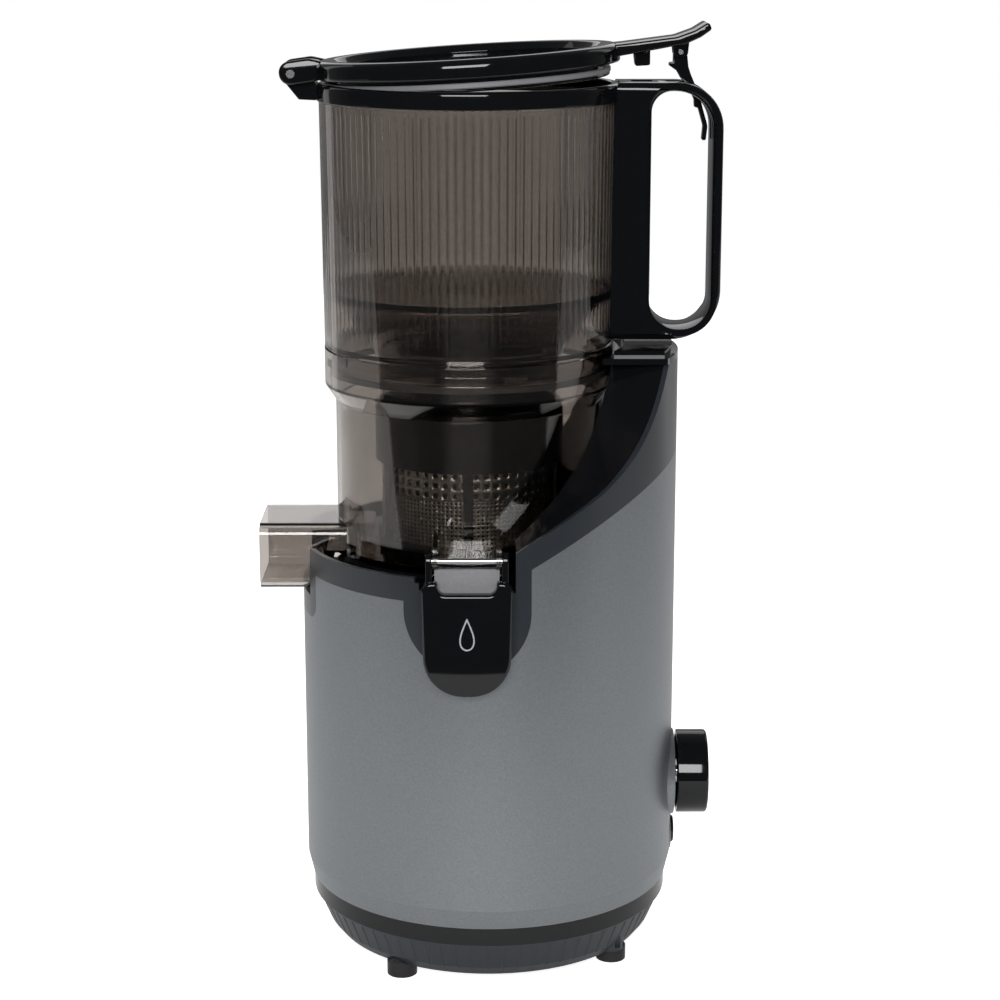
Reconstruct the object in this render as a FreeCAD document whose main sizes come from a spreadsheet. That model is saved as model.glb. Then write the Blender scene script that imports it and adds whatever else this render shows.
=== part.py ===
import FreeCAD, Part
import math
import os
import re
import Sketcher

# A free-standing cold press juicer, in millimetres.
# X runs to the right of the front view, Y runs to the back and Z runs up.
# The origin is the middle of the round body on the surface that the feet stand on.

# Driving sizes: each one is set here alone.
SIZES = {
    # round body and its foot
    "foot_height": 7, "foot_radius": 7.5, "foot_circle": 76, "foot_turn": 5, "foot_plug": 2,
    "pan_height": 20, "pan_wall": 3, "pan_top_radius": 90, "pan_foot_radius": 80, "pan_foot_rise": 5,
    "pan_spread": 4, "rib_count": 72, "rib_depth": 1.6,
    "ring_height": 9, "ring_inset": 3, "ring_wall": 4,
    "body_radius": 94.4, "shell_wall": 2.5, "shell_height": 165, "shell_tuck": 2.4, "shell_tuck_height": 10,
    "edge_slope": 0.56, "lip_height": 12, "deck_drop": 8, "deck_wall": 3, "neck_height": 105,
    "bib_half_width": 30.5, "bib_drop": 35, "side_bib_drop": 23, "side_bib_margin": 10,
    "neck_half_width": 36, "neck_cap_height": 6, "neck_cap_wall": 3,
    # bowl set, on its own upright axis
    "bowl_x": -9.8, "bowl_radius": 66.7, "bowl_wall": 2.5, "bowl_lift": 3, "bowl_floor": 3,
    "collar_radius": 72, "collar_height": 18, "collar_flare": 8, "bowl_height": 102, "bowl_gap": 2.5,
    "tube_radius": 12, "tube_wall": 4, "tube_height": 14, "lip_seal_height": 4,
    "chute_reach": 113.9, "chute_width": 50, "chute_shift": -5, "chute_height": 33, "chute_wall": 2.3,
    "chute_drop": 17, "chute_corner": 6, "chute_gap": 2,
    "spout_half_width": 16.3, "spout_wall": 2.5, "spout_reach": 95, "spout_height": 13.5, "ear_height": 9,
    "cap_half_width": 21.5, "cap_height": 62, "cap_thickness": 6.5, "cap_gap": 2.4, "cap_arm": 2.9,
    "cap_pin_radius": 1.5, "cap_ear_radius": 4, "cap_notch": 6, "cap_notch_half_width": 14,
    "strainer_radius": 44, "strainer_wall": 0.7, "strainer_height": 44, "frame_height": 26,
    "frame_wall": 3.2, "hole_radius": 1.3, "hole_rows": 3, "holes_around": 44, "hole_pitch": 5,
    "auger_radius": 41.5, "auger_height": 106, "flight_pitch": 30, "flight_thickness": 3,
    "flight_height": 64, "auger_root": 33, "auger_tip": 12,
    # hopper, its handle and the lid
    "hopper_radius": 71.8, "hopper_draft": 1.1, "hopper_wall": 2.4, "hopper_height": 120.4, "seam": 0.6,
    "skirt_depth": 9, "skirt_gap": 0.4, "lug_height": 2.4, "lug_reach": 1.5, "lug_half_width": 7,
    "rim_height": 8.5, "rim_radius": 74, "rim_bore": 69.9, "funnel_rise": 26, "funnel_bore": 42.6,
    "funnel_wall": 2, "funnel_depth": 22,
    "handle_width": 35, "handle_left": 56, "handle_right": 113.9, "column_right": 79, "strap": 5,
    "handle_bottom": 315, "handle_top": 440, "grip_bottom": 320, "grip_top": 436, "slot_width": 9,
    "slot_left": 86.3, "slot_drop": 28,
    "rod_x": 72.5, "rod_radius": 2.5, "rod_head_radius": 4, "rod_head": 2.5, "rod_travel": 3,
    "magnet_radius": 3.3, "magnet_height": 5, "rod_gap": 0.5, "nub_gap": 0.5,
    "hinge_x": -95.4, "hinge_z": 444, "hinge_pin_radius": 2.1, "knuckle_radius": 5.8,
    "bracket_half_width": 7.5, "arm_width": 5, "hinge_gap": 0.4, "lid_ajar": 3.5,
    "lid_radius": 74, "lid_drop": 3.8, "lid_rise": 5, "lid_bore": 62, "lid_ledge": 2.2, "lid_skirt": 6.2,
    "lid_skirt_radius": 68.7, "lid_skirt_wall": 2.4, "window_thickness": 2.2,
    "tab_half_width": 15, "latch_half_width": 3.5, "latch_pin_radius": 1.2, "latch_lug": 2.2,
    "latch_pin_end": 2.4,
    "latch_pin_x": 188.7, "latch_pin_z": -1.3,
    # motor, gears and the drive
    "pinion_module": 1, "pinion_teeth": 14, "wheel_teeth": 70, "output_module": 1.25, "tooth_gap": 0.25,
    "wheel_width": 10, "output_width": 12, "gear_gap": 2.5, "case_wall": 3, "case_gap": 2.5,
    "case_floor": 130, "case_plate_left": 43, "case_plate_right": 77, "case_plate_half_width": 56,
    "shaft_radius": 6, "hex_flats": 14, "hex_height": 45, "hex_gap": 0.3, "bearing_width": 8,
    "bearing_wall": 9, "tower_height": 22, "motor_radius": 40, "motor_wall": 2, "motor_height": 84,
    "stator_wall": 11, "stator_height": 44, "air_gap": 0.8, "rotor_shaft_radius": 4, "fan_height": 10,
    "fan_blades": 9, "post_radius": 6, "mount_height": 12, "post_left": 45, "post_right": 62,
    "post_half_width": 50, "gear_pin_radius": 3, "running_gap": 0.1,
    # controls on the right side
    "knob_z": 85, "knob_radius": 21.5, "knob_start": 97.2, "knob_depth": 15.7, "knob_wall": 2.5,
    "boss_radius": 22, "boss_face": 95.6, "spindle_radius": 3, "button_z": 53, "button_radius": 7,
    "button_reach": 96.3, "button_travel": 2, "button_gap": 0.4, "button_length": 11,
    # fasteners and small things
    "screw_radius": 2, "screw_head_radius": 3.6, "screw_head": 2.6, "screw_circle": 74, "screw_boss": 5.5,
    "screw_length": 38, "screw_turn": 15, "gland_radius": 7, "gland_bore": 3.6, "gland_z": 53.5, "gland_reach": 9.8,
    "wire": 0.8,
}

# Places that follow from the driving sizes.
PLACES = {
    "ring_z": "foot_height + pan_height",
    "shell_z": "ring_z + ring_height",
    "edge_z": "shell_z + shell_height",
    "lip_z": "edge_z + lip_height",
    "deck_z": "lip_z - deck_drop",
    "neck_z": "edge_z + neck_height",
    "recess_radius": "collar_radius + bowl_gap",
    "bowl_z": "deck_z + bowl_lift",
    "floor_z": "bowl_z + bowl_floor",
    "collar_z": "bowl_z + bowl_height",
    "collar_foot": "collar_z - collar_height",
    "hopper_z": "collar_z + seam",
    "rim_z": "hopper_z + hopper_height",
    "rim_top": "rim_z + rim_height",
    "hopper_top_radius": "hopper_radius + hopper_draft",
    "chute_z": "bowl_z - chute_drop",
    "chute_y": "chute_shift - chute_width / 2",
    "tray_edge": "0 - (bowl_radius + bowl_gap / 2 - bowl_x)",
    "spout_z": "bowl_z",
    "spout_roof": "spout_z + spout_height",
    "cap_pin_z": "spout_roof + ear_height / 4",
    "cap_pin_y": "0 - (spout_reach + cap_gap)",
    "cap_top": "cap_pin_z - ear_height",
    "cap_foot": "cap_top - cap_height + cap_notch",
    "strainer_z": "floor_z + 2",
    "frame_z": "strainer_z + strainer_height",
    "auger_z": "floor_z + 3",
    "seat_z": "bowl_z + tube_height + lip_seal_height + 3",
    "wheel_x": "bowl_x + output_module * (pinion_teeth + wheel_teeth) / 2",
    "motor_x": "wheel_x - pinion_module * (pinion_teeth + wheel_teeth) / 2",
    "gear_z": "case_floor + case_wall + 5",
    "output_z": "gear_z + wheel_width + gear_gap",
    "case_split": "gear_z + wheel_width + 2",
    "case_top": "output_z + output_width + 5 + case_wall",
    "motor_top": "case_floor",
    "motor_foot": "motor_top - motor_height",
    "post_top": "case_floor - mount_height",
    "hex_top": "deck_z + hex_height - 5",
    "pinion_tip": "pinion_module * (pinion_teeth / 2 + 1)",
    "wheel_tip": "pinion_module * (wheel_teeth / 2 + 1)",
    "output_tip": "output_module * (wheel_teeth / 2 + 1)",
    "rotor_radius": "motor_radius - motor_wall - stator_wall - air_gap",
    "lid_centre": "bowl_x - hinge_x",
    "rod_top": "handle_top - 3.4 - nub_gap",
    "rod_foot": "handle_bottom + 1.2 + rod_travel + rod_gap + magnet_height",
}

doc = FreeCAD.newDocument("juicer")
V = FreeCAD.Vector
NODES = {}


def words(text):
    """Point the words of a formula at the cells that hold them."""
    def cell(found):
        word = found.group(0)
        if word in SIZES:
            return "Sizes." + word
        if word in PLACES:
            return "Places." + word
        return word
    return re.sub(r"[a-z][a-z0-9_]*", cell, str(text))


def make_sheets():
    sizes = doc.addObject("Spreadsheet::Sheet", "Sizes")
    for row, (name, number) in enumerate(SIZES.items(), start=1):
        sizes.set(f"A{row}", name)
        sizes.set(f"B{row}", str(number))
        sizes.setAlias(f"B{row}", name)
    doc.recompute()
    places = doc.addObject("Spreadsheet::Sheet", "Places")
    for row, (name, formula) in enumerate(PLACES.items(), start=1):
        places.set(f"A{row}", name)
        places.setAlias(f"B{row}", name)
    for row, (name, formula) in enumerate(PLACES.items(), start=1):
        own = re.sub(r"Places\.", "", words(formula))
        places.set(f"B{row}", "=" + own)
    doc.recompute()
    return sizes, places


SHEET, PLACE_SHEET = make_sheets()


def val(name):
    """The number in a cell of either sheet."""
    sheet = SHEET if name in SIZES else PLACE_SHEET
    return float(sheet.get(name))


def bind(thing, **properties):
    for name, text in properties.items():
        thing.setExpression(name, words(text))
    return thing


def place(thing, at, turn=None):
    """Put a thing at three formulas, turned by (axis, degrees)."""
    if turn:
        thing.Placement = FreeCAD.Placement(V(0, 0, 0), FreeCAD.Rotation(V(*turn[0]), turn[1]))
    for axis, text in zip("xyz", at):
        if str(text) != "0":
            thing.setExpression("Placement.Base." + axis, words(text))
    return thing


ALONG = {"x": ((0, 1, 0), 90), "y": ((1, 0, 0), -90), "z": None}


def cylinder(name, radius, height, at=(0, 0, 0), along="z"):
    """A round bar that starts at a point and runs along +X, +Y or +Z."""
    thing = doc.addObject("Part::Cylinder", name)
    bind(thing, Radius=radius, Height=height)
    return place(thing, at, ALONG[along])


def cone(name, first, last, height, at=(0, 0, 0), along="z"):
    thing = doc.addObject("Part::Cone", name)
    bind(thing, Radius1=first, Radius2=last, Height=height)
    return place(thing, at, ALONG[along])


def box(name, x, y, z):
    """A block between two formulas on each axis."""
    thing = doc.addObject("Part::Box", name)
    bind(thing, Length=f"({x[1]}) - ({x[0]})", Width=f"({y[1]}) - ({y[0]})", Height=f"({z[1]}) - ({z[0]})")
    return place(thing, (x[0], y[0], z[0]))


def fuse(name, *parts):
    thing = doc.addObject("Part::MultiFuse", name)
    thing.Shapes = list(parts)
    return thing


def common(name, *parts):
    thing = doc.addObject("Part::MultiCommon", name)
    thing.Shapes = list(parts)
    return thing


def cut(name, base, *tools):
    thing = doc.addObject("Part::Cut", name)
    thing.Base = base
    thing.Tool = tools[0] if len(tools) == 1 else fuse(name + "_tools", *tools)
    return thing


def sketch_on(body, name, plane, corners):
    """A closed outline on an origin plane, each corner held by two formulas."""
    sketch = body.newObject("Sketcher::SketchObject", name)
    origin = [item for item in body.Origin.OriginFeatures if item.Role == plane]
    sketch.AttachmentSupport = [(origin[0], "")]
    sketch.MapMode = "FlatFace"
    count = len(corners)
    spots = [V(10 * math.cos(2 * math.pi * k / count), 10 * math.sin(2 * math.pi * k / count), 0)
             for k in range(count)]
    sketch.addGeometry([Part.LineSegment(spots[k], spots[(k + 1) % count]) for k in range(count)])
    sketch.addConstraint([Sketcher.Constraint("Coincident", k, 2, (k + 1) % count, 1)
                          for k in range(count)])
    for k, corner in enumerate(corners):
        for kind, start, text in zip(("DistanceX", "DistanceY"), (spots[k].x, spots[k].y), corner):
            index = sketch.addConstraint(Sketcher.Constraint(kind, -1, 1, k, 1, start))
            sketch.setExpression(f"Constraints[{index}]", words(text))
    return sketch


def turned(name, corners, at=(0, 0, 0), turn=None):
    """A body turned about its upright axis from (radius, height) corners."""
    body = doc.addObject("PartDesign::Body", name)
    sketch = sketch_on(body, name + "_outline", "XZ_Plane", corners)
    spin = body.newObject("PartDesign::Revolution", name + "_turning")
    spin.Profile = sketch
    spin.ReferenceAxis = (sketch, ["V_Axis"])
    spin.Angle = 360
    return place(body, at, turn)


def slab(name, plane, corners, depth, at=(0, 0, 0), centred=True, turn=None):
    """A body padded from corners on an origin plane."""
    body = doc.addObject("PartDesign::Body", name)
    sketch = sketch_on(body, name + "_outline", plane, corners)
    pad = body.newObject("PartDesign::Pad", name + "_pad")
    pad.Profile = sketch
    pad.SideType = "Symmetric" if centred else "One side"
    bind(pad, Length=depth)
    return place(body, at, turn)


def rounded(body, *rounds):
    """Round edges of a body: each round is (size, test on an edge)."""
    for number, (size, wanted) in enumerate(rounds, start=1):
        doc.recompute()
        last = body.Tip
        names = [f"Edge{k}" for k, edge in enumerate(last.Shape.Edges, start=1) if wanted(edge)]
        fillet = body.newObject("PartDesign::Fillet", f"{body.Name}_round{number}")
        fillet.Base = (last, names)
        bind(fillet, Radius=size)
        body.Tip = fillet
    return body


def near(x=None, y=None, z=None, run=None):
    """A test for straight edges by the place of their middle and the axis they run along."""
    def wanted(edge):
        if len(edge.Vertexes) < 2:
            return False
        middle = edge.BoundBox.Center
        ok = all(want is None or abs(have - want) < 0.05 for have, want in zip(middle, (x, y, z)))
        if run is None:
            return ok
        way = edge.Vertexes[1].Point - edge.Vertexes[0].Point
        return ok and abs(abs(getattr(way, run)) - way.Length) < 0.001
    return wanted


def shaped(name, shape, at=None, turn=None):
    """A feature whose shape is worked out from the sheet."""
    thing = doc.addObject("Part::Feature", name)
    thing.Shape = shape
    return place(thing, at or (0, 0, 0), turn)


def node(name, thing, at=None, turn=None):
    """Keep a thing as one named piece of the object."""
    if at is not None or turn is not None:
        place(thing, at or (0, 0, 0), turn)
    thing.Label = name
    NODES[name] = thing
    return thing


def ring_of(name, thing_at, angles):
    """Fuse copies of a small thing, one for each angle in degrees."""
    return [thing_at(f"{name}_{k}", math.radians(angle)) for k, angle in enumerate(angles)]


def polar(radius, angle):
    """Formulas for a place on a circle about the upright axis."""
    return f"{radius} * {math.cos(angle):.6f}", f"{radius} * {math.sin(angle):.6f}"


# The scoop beside the bowl: the saddle climbs round the bowl axis from the deck to the neck.
# Each station is (angle, height at the bowl, height at the rim), the angle from the neck side,
# the heights above the top edge of the shell at the front.
SCOOP = [(106, 6, 12), (92, 9, 15), (78, 17, 27), (64, 33, 39), (50, 53, 49), (38, 74, 62),
         (29, 90, 78), (20, 104, 103), (14, 116, 120)]


def scoop_shape(side, sink):
    """The air above the saddle on one side (-1 front, 1 back), lowered by sink."""
    inner = val("recess_radius") - 24
    outer = val("body_radius") + 26
    top = val("neck_z") + 60
    frames = []
    for angle, low, high in SCOOP:
        way = V(math.cos(math.radians(angle)), side * math.sin(math.radians(angle)), 0)
        foot = V(val("bowl_x"), 0, val("edge_z") - sink)
        near_point = foot + way * inner + V(0, 0, low)
        far_point = foot + way * outer + V(0, 0, high)
        over_far = V(far_point.x, far_point.y, top)
        over_near = V(near_point.x, near_point.y, top)
        frames.append(Part.makePolygon([near_point, far_point, over_far, over_near, near_point]))
    return Part.makeLoft(frames, True, False)


def gear_shape(module, teeth, width, bore, phase):
    """A spur gear with involute flanks; phase turns a tooth onto that angle."""
    pitch = module * teeth / 2
    tip = pitch + module
    root = pitch - 1.25 * module
    base = pitch * math.cos(math.radians(20))
    flat = math.tan(math.radians(20)) - math.radians(20)
    half = math.pi / (2 * teeth) - val("tooth_gap") / (2 * pitch)
    points = []
    first = max(base, root)
    steps = [first, (first + tip) / 2, tip]
    for tooth in range(teeth):
        middle = phase + 2 * math.pi * tooth / teeth
        flank = []
        for radius in steps:
            roll = math.sqrt(max((radius / base) ** 2 - 1, 0))
            flank.append((radius, half + flat - (roll - math.atan(roll))))
        if base > root:
            flank.insert(0, (root, flank[0][1] + 0.02))
        for radius, lean in flank:
            points.append(V(radius * math.cos(middle - lean), radius * math.sin(middle - lean), 0))
        for radius, lean in reversed(flank):
            points.append(V(radius * math.cos(middle + lean), radius * math.sin(middle + lean), 0))
    face = Part.Face(Part.makePolygon(points + [points[0]]))
    blank = face.extrude(V(0, 0, width))
    return blank.cut(Part.makeCylinder(bore, width))


def spring_shape(radius, pitch, height, wire):
    """An open coil spring that stands on the XY plane."""
    helix = Part.makeHelix(pitch, height, radius)
    wire_end = Part.Wire(Part.makeCircle(wire, V(radius, 0, 0), V(0, 1, 0)))
    return Part.Wire(helix.Edges).makePipeShell([wire_end], True, True)


def make_body():
    """Shell, trim, saddle, neck cap, ring, pan and feet."""
    blank = turned("shell_blank", [
        ("body_radius - shell_tuck", "shell_z"),
        ("body_radius", "shell_z + shell_tuck_height"),
        ("body_radius", "neck_z"),
        ("body_radius - shell_wall", "neck_z"),
        ("body_radius - shell_wall", "shell_z + shell_tuck_height"),
        ("body_radius - shell_wall - shell_tuck", "shell_z"),
    ])
    far = "body_radius + 40"
    above = slab("above_edge", "XZ_Plane", [
        (f"0 - ({far})", "edge_z"),
        ("bowl_x", "edge_z"),
        (far, f"edge_z + edge_slope * ({far} - bowl_x)"),
        (far, "neck_z + 40"),
        (f"0 - ({far})", "neck_z + 40"),
    ], f"2 * ({far})")
    bib = fuse(
        "bib",
        cylinder("bib_round", "bib_half_width", 60, ("bowl_x", "0 - body_radius - 10",
                 "edge_z - bib_drop + bib_half_width"), "y"),
        box("bib_block", ("bowl_x - bib_half_width", "bowl_x + bib_half_width"),
            ("0 - body_radius - 10", "0 - body_radius + 50"),
            ("edge_z - bib_drop + bib_half_width", "neck_z")))
    side_bib = slab("side_bib", "YZ_Plane", [
        ("chute_y - side_bib_margin", "edge_z + 20"),
        ("chute_y - side_bib_margin", "edge_z - side_bib_drop"),
        ("chute_y + chute_width + side_bib_margin", "edge_z - side_bib_drop"),
        ("chute_y + chute_width + side_bib_margin", "edge_z + 20"),
    ], 60, ("0 - body_radius", 0, 0))
    rounded(side_bib, (8, near(z=val("edge_z") - val("side_bib_drop"), run="x")))
    trimmed = fuse("above_shell", above, bib, side_bib)
    angles = [val("screw_turn") + 90 * k for k in range(4)]

    def boss(name, angle):
        x, y = polar("screw_circle", angle)
        return cylinder(name, "screw_boss", 22, (x, y, "shell_z"))

    def web(name, angle):
        thing = doc.addObject("Part::Box", name)
        bind(thing, Length="body_radius - shell_wall - screw_circle + 1", Width=3, Height=12)
        thing.Placement = FreeCAD.Placement(V(0, 0, 0), FreeCAD.Rotation(V(0, 0, 1), math.degrees(angle)))
        x, y = polar("screw_circle", angle)
        return place(thing, (f"{x} + 1.5 * {math.sin(angle):.6f}", f"{y} - 1.5 * {math.cos(angle):.6f}",
                             "shell_z + shell_tuck_height"))

    def pilot(name, angle):
        x, y = polar("screw_circle", angle)
        return cylinder(name, "screw_radius", 20, (x, y, "shell_z"))

    knob_boss = cone("knob_boss", "boss_radius + 5", "boss_radius", "boss_face - body_radius + 12",
                     ("body_radius - 12", 0, "knob_z"), "x")
    button_boss = cone("button_boss", "button_radius + 6", "button_radius + 3",
                       "boss_face - body_radius + 6", ("body_radius - 7", 0, "button_z"), "x")
    gland_hole = cylinder("gland_hole", "gland_radius - 1", 30, (0, "body_radius - 15", "gland_z"), "y")
    inside = turned("shell_inside", [
        (0, "shell_z - 1"), ("body_radius - shell_wall - shell_tuck - 0.24", "shell_z - 1"),
        ("body_radius - shell_wall", "shell_z + shell_tuck_height"),
        ("body_radius - shell_wall", "neck_z + 1"), (0, "neck_z + 1")])
    bosses = cut("outer_bosses", fuse("boss_pair", knob_boss, button_boss), inside)
    grown = fuse("shell_grown", cut("shell_open", blank, trimmed), bosses,
                 *ring_of("shell_boss", boss, angles), *ring_of("shell_web", web, angles))
    node("base_shell", cut(
        "shell_cut", grown, gland_hole,
        cylinder("spindle_hole", "spindle_radius + 3", 40, ("body_radius - 20", 0, "knob_z"), "x"),
        cylinder("button_hole", "button_radius + button_gap", 40, ("body_radius - 20", 0, "button_z"), "x"),
        *ring_of("shell_pilot", pilot, angles)))

    scoops = [shaped("scoop_front", scoop_shape(-1, 0)), shaped("scoop_back", scoop_shape(1, 0))]
    low_side = box("above_lip", ("0 - body_radius - 10", "bowl_x - bib_half_width + 10"),
                   ("0 - body_radius - 10", "body_radius + 10"), ("lip_z", "neck_z + 5"))
    spout_notch = box("spout_notch", ("bowl_x - cap_half_width - 1.5", "bowl_x + cap_half_width + 1.5"),
                      ("0 - body_radius - 10", "0 - recess_radius + 20"), ("spout_z - 1", "neck_z + 5"))
    chute_notch = box("chute_notch", ("0 - body_radius - 10", "tray_edge"),
                      ("chute_y - chute_gap", "chute_y + chute_width + chute_gap"),
                      ("chute_z - chute_gap", "neck_z + 5"))
    trim_ring = turned("trim_blank", [
        ("body_radius", "edge_z - bib_drop - 5"), ("body_radius", "neck_z"),
        ("body_radius - shell_wall", "neck_z"), ("body_radius - shell_wall", "edge_z - bib_drop - 5")])
    node("trim_band", cut("trim_cut", common("trim_raw", trim_ring, trimmed),
                          *scoops, low_side, spout_notch, chute_notch))

    saddle_radius = "body_radius - shell_wall"
    full = cylinder("saddle_full", saddle_radius, "neck_z - deck_z + deck_wall",
                    (0, 0, "deck_z - deck_wall"))
    recess = cylinder("saddle_recess", "recess_radius", "neck_z", ("bowl_x", 0, "deck_z"))
    low_deck = box("above_deck", ("0 - body_radius - 10", "bowl_x - bib_half_width + 10"),
                   ("0 - body_radius - 10", "body_radius + 10"), ("deck_z", "neck_z + 5"))
    hollow = cut(
        "saddle_hollow",
        cylinder("hollow_full", "body_radius - shell_wall - deck_wall", "neck_z - deck_z",
                 (0, 0, "deck_z - deck_wall")),
        shaped("sunk_front", scoop_shape(-1, val("deck_wall") * 1.3)),
        shaped("sunk_back", scoop_shape(1, val("deck_wall") * 1.3)),
        cylinder("hollow_recess", "recess_radius + deck_wall", "neck_z", ("bowl_x", 0, "deck_z - deck_wall")),
        box("hollow_deck", ("0 - body_radius - 10", "bowl_x + bib_half_width"),
            ("0 - body_radius - 10", "body_radius + 10"), ("deck_z - deck_wall", "neck_z + 5")))
    tray = box("tray", ("0 - body_radius", "tray_edge + 2"),
               ("chute_y - chute_gap - 2", "chute_y + chute_width + chute_gap + 2"),
               ("chute_z - chute_gap - 2", "deck_z"))
    inner_bar = cylinder("tray_limit", saddle_radius, 100, (0, 0, "edge_z - 60"))
    drive_hole = cylinder("drive_hole", "shaft_radius + 8", 30, ("bowl_x", 0, "deck_z - 15"))
    saddle = fuse("saddle_raw", cut("saddle_shape", full, *scoops, recess, low_deck, hollow),
                  common("tray_round", tray, inner_bar))
    node("saddle_cover", cut("saddle_cut", saddle, spout_notch, chute_notch, drive_hole))

    cap_low = common(
        "neck_cap_plate",
        cut("neck_cap_low", cylinder("neck_cap_round", "body_radius", "neck_cap_wall", (0, 0, "neck_z")),
            cylinder("neck_cap_recess", "recess_radius", 40, ("bowl_x", 0, "neck_z - 10"))),
        box("neck_cap_limit", (50, "body_radius + 5"), ("0 - neck_half_width", "neck_half_width"),
            ("neck_z", "neck_z + 20")))
    cap_high = common(
        "neck_cap_step",
        cut("neck_cap_high", cylinder("neck_step_round", "body_radius - 3", "neck_cap_height - neck_cap_wall",
                                      (0, 0, "neck_z + neck_cap_wall")),
            cylinder("neck_step_recess", "recess_radius + 3", 40, ("bowl_x", 0, "neck_z - 10"))),
        box("neck_step_limit", (50, "body_radius + 5"), ("5 - neck_half_width", "neck_half_width - 5"),
            ("neck_z", "neck_z + 20")))
    node("neck_cap", fuse("neck_cap_whole", cap_low, cap_high))

    node("lower_ring", turned("lower_ring_body", [
        ("body_radius - ring_inset", "ring_z"), ("body_radius - ring_inset", "shell_z"),
        ("body_radius - ring_inset - ring_wall", "shell_z"),
        ("body_radius - ring_inset - ring_wall", "ring_z")]))


def make_pan():
    """The ribbed floor pan with its posts, the feet and the screws."""
    floor = "foot_height + pan_wall"
    cup = turned("pan_cup", [
        (0, "foot_height"), ("pan_foot_radius", "foot_height"),
        ("pan_foot_radius + pan_spread", "foot_height + pan_foot_rise"),
        ("pan_top_radius", "ring_z - 1"), ("pan_top_radius", "ring_z"),
        ("pan_top_radius - pan_wall", "ring_z"),
        ("pan_foot_radius + pan_spread - pan_wall", "foot_height + pan_foot_rise + 1"),
        ("pan_foot_radius - pan_wall", floor), (0, floor)])
    slots = []
    low = V(val("pan_foot_radius") + val("pan_spread") + 0.6, 0, val("foot_height") + 3)
    high = V(val("pan_top_radius") + 0.6, 0, val("ring_z") - 2.5)
    count = int(val("rib_count"))
    for k in range(count):
        bar = Part.makeCylinder(val("rib_depth"), (high - low).Length, low, high - low)
        bar.rotate(V(0, 0, 0), V(0, 0, 1), 360 * k / count)
        slots.append(bar)
    vents = []
    for k in range(12):
        vent = Part.makeBox(20, 3.5, 12, V(28, -1.75, 2))
        vent.rotate(V(0, 0, 0), V(0, 0, 1), 30 * k + 15)
        vents.append(vent)
    foot_angles = [val("foot_turn") + 50 + 90 * k for k in range(4)]
    screw_angles = [val("screw_turn") + 90 * k for k in range(4)]

    def foot(name, angle):
        x, y = polar("foot_circle", angle)
        return cylinder(name, "foot_radius", "foot_height", (x, y, 0))

    def plug(name, angle):
        x, y = polar("foot_circle", angle)
        return cylinder(name, "foot_radius - 2", "foot_plug", (x, y, "foot_height"))

    def socket(name, angle):
        x, y = polar("foot_circle", angle)
        return cylinder(name, "foot_radius - 2", "foot_plug", (x, y, "foot_height"))

    def boss(name, angle):
        x, y = polar("screw_circle", angle)
        return cylinder(name, "screw_boss", "shell_z - foot_height - 1", (x, y, "foot_height + 1"))

    def bore(name, angle):
        x, y = polar("screw_circle", angle)
        return cylinder(name, "screw_radius + 0.2", "shell_z", (x, y, "foot_height - 1"))

    def head_pocket(name, angle):
        x, y = polar("screw_circle", angle)
        return cylinder(name, "screw_head_radius + 0.4", "screw_head + 0.6", (x, y, "foot_height"))

    def screw(name, angle):
        x, y = polar("screw_circle", angle)
        head = cylinder(name + "_head", "screw_head_radius", "screw_head", (x, y, "foot_height + 0.6"))
        shank = cylinder(name + "_shank", "screw_radius", "screw_length",
                         (x, y, "foot_height + 0.6 + screw_head"))
        drive = cylinder(name + "_drive", 1.5, 1.4, (x, y, "foot_height + 0.6"))
        return cut(name, fuse(name + "_whole", head, shank), drive)

    posts = []
    pins = []
    spots = [("0 - post_left", 1), ("0 - post_left", -1), ("post_right", 1), ("post_right", -1)]
    for k, (x, side) in enumerate(spots):
        y = f"{side} * post_half_width"
        posts.append(cylinder(f"post_{k}", "post_radius", "post_top - foot_height - 1",
                              (x, y, "foot_height + 1")))
        pins.append(cylinder(f"post_pilot_{k}", "screw_radius", 30, (x, y, "post_top - 30")))
    board_slots = [box(f"board_guide_{k}", ("0 - 66", "0 - 58"), (y0, y1), ("foot_height + 1", 46))
                   for k, (y0, y1) in enumerate([(-37, -31), (31, 37)])]
    groove = box("board_groove", ("0 - 62.9", "0 - 61.1"), (-33.2, 33.2), ("foot_height + pan_wall", 60))
    plus = fuse("pan_plus", cup, *posts, *board_slots, *ring_of("pan_boss", boss, screw_angles))
    minus = [shaped("pan_slots", Part.makeCompound(slots + vents)), groove, *pins,
             *ring_of("pan_bore", bore, screw_angles), *ring_of("pan_pocket", head_pocket, screw_angles),
             *ring_of("pan_socket", socket, foot_angles)]
    pan = plus
    for k, tool in enumerate(minus):
        pan = cut(f"pan_step_{k}", pan, tool)
    node("base_pan", pan)
    feet = [fuse(f"foot_{k}", foot(f"foot_pad_{k}", math.radians(angle)),
                 plug(f"foot_plug_{k}", math.radians(angle))) for k, angle in enumerate(foot_angles)]
    node("foot_pads", group("feet", feet))
    node("base_screws", group("screws", ring_of("base_screw", screw, screw_angles)))


def group(name, parts):
    """Separate solids of one kind, kept together."""
    thing = doc.addObject("Part::Compound", name)
    thing.Links = list(parts)
    return thing


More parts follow.
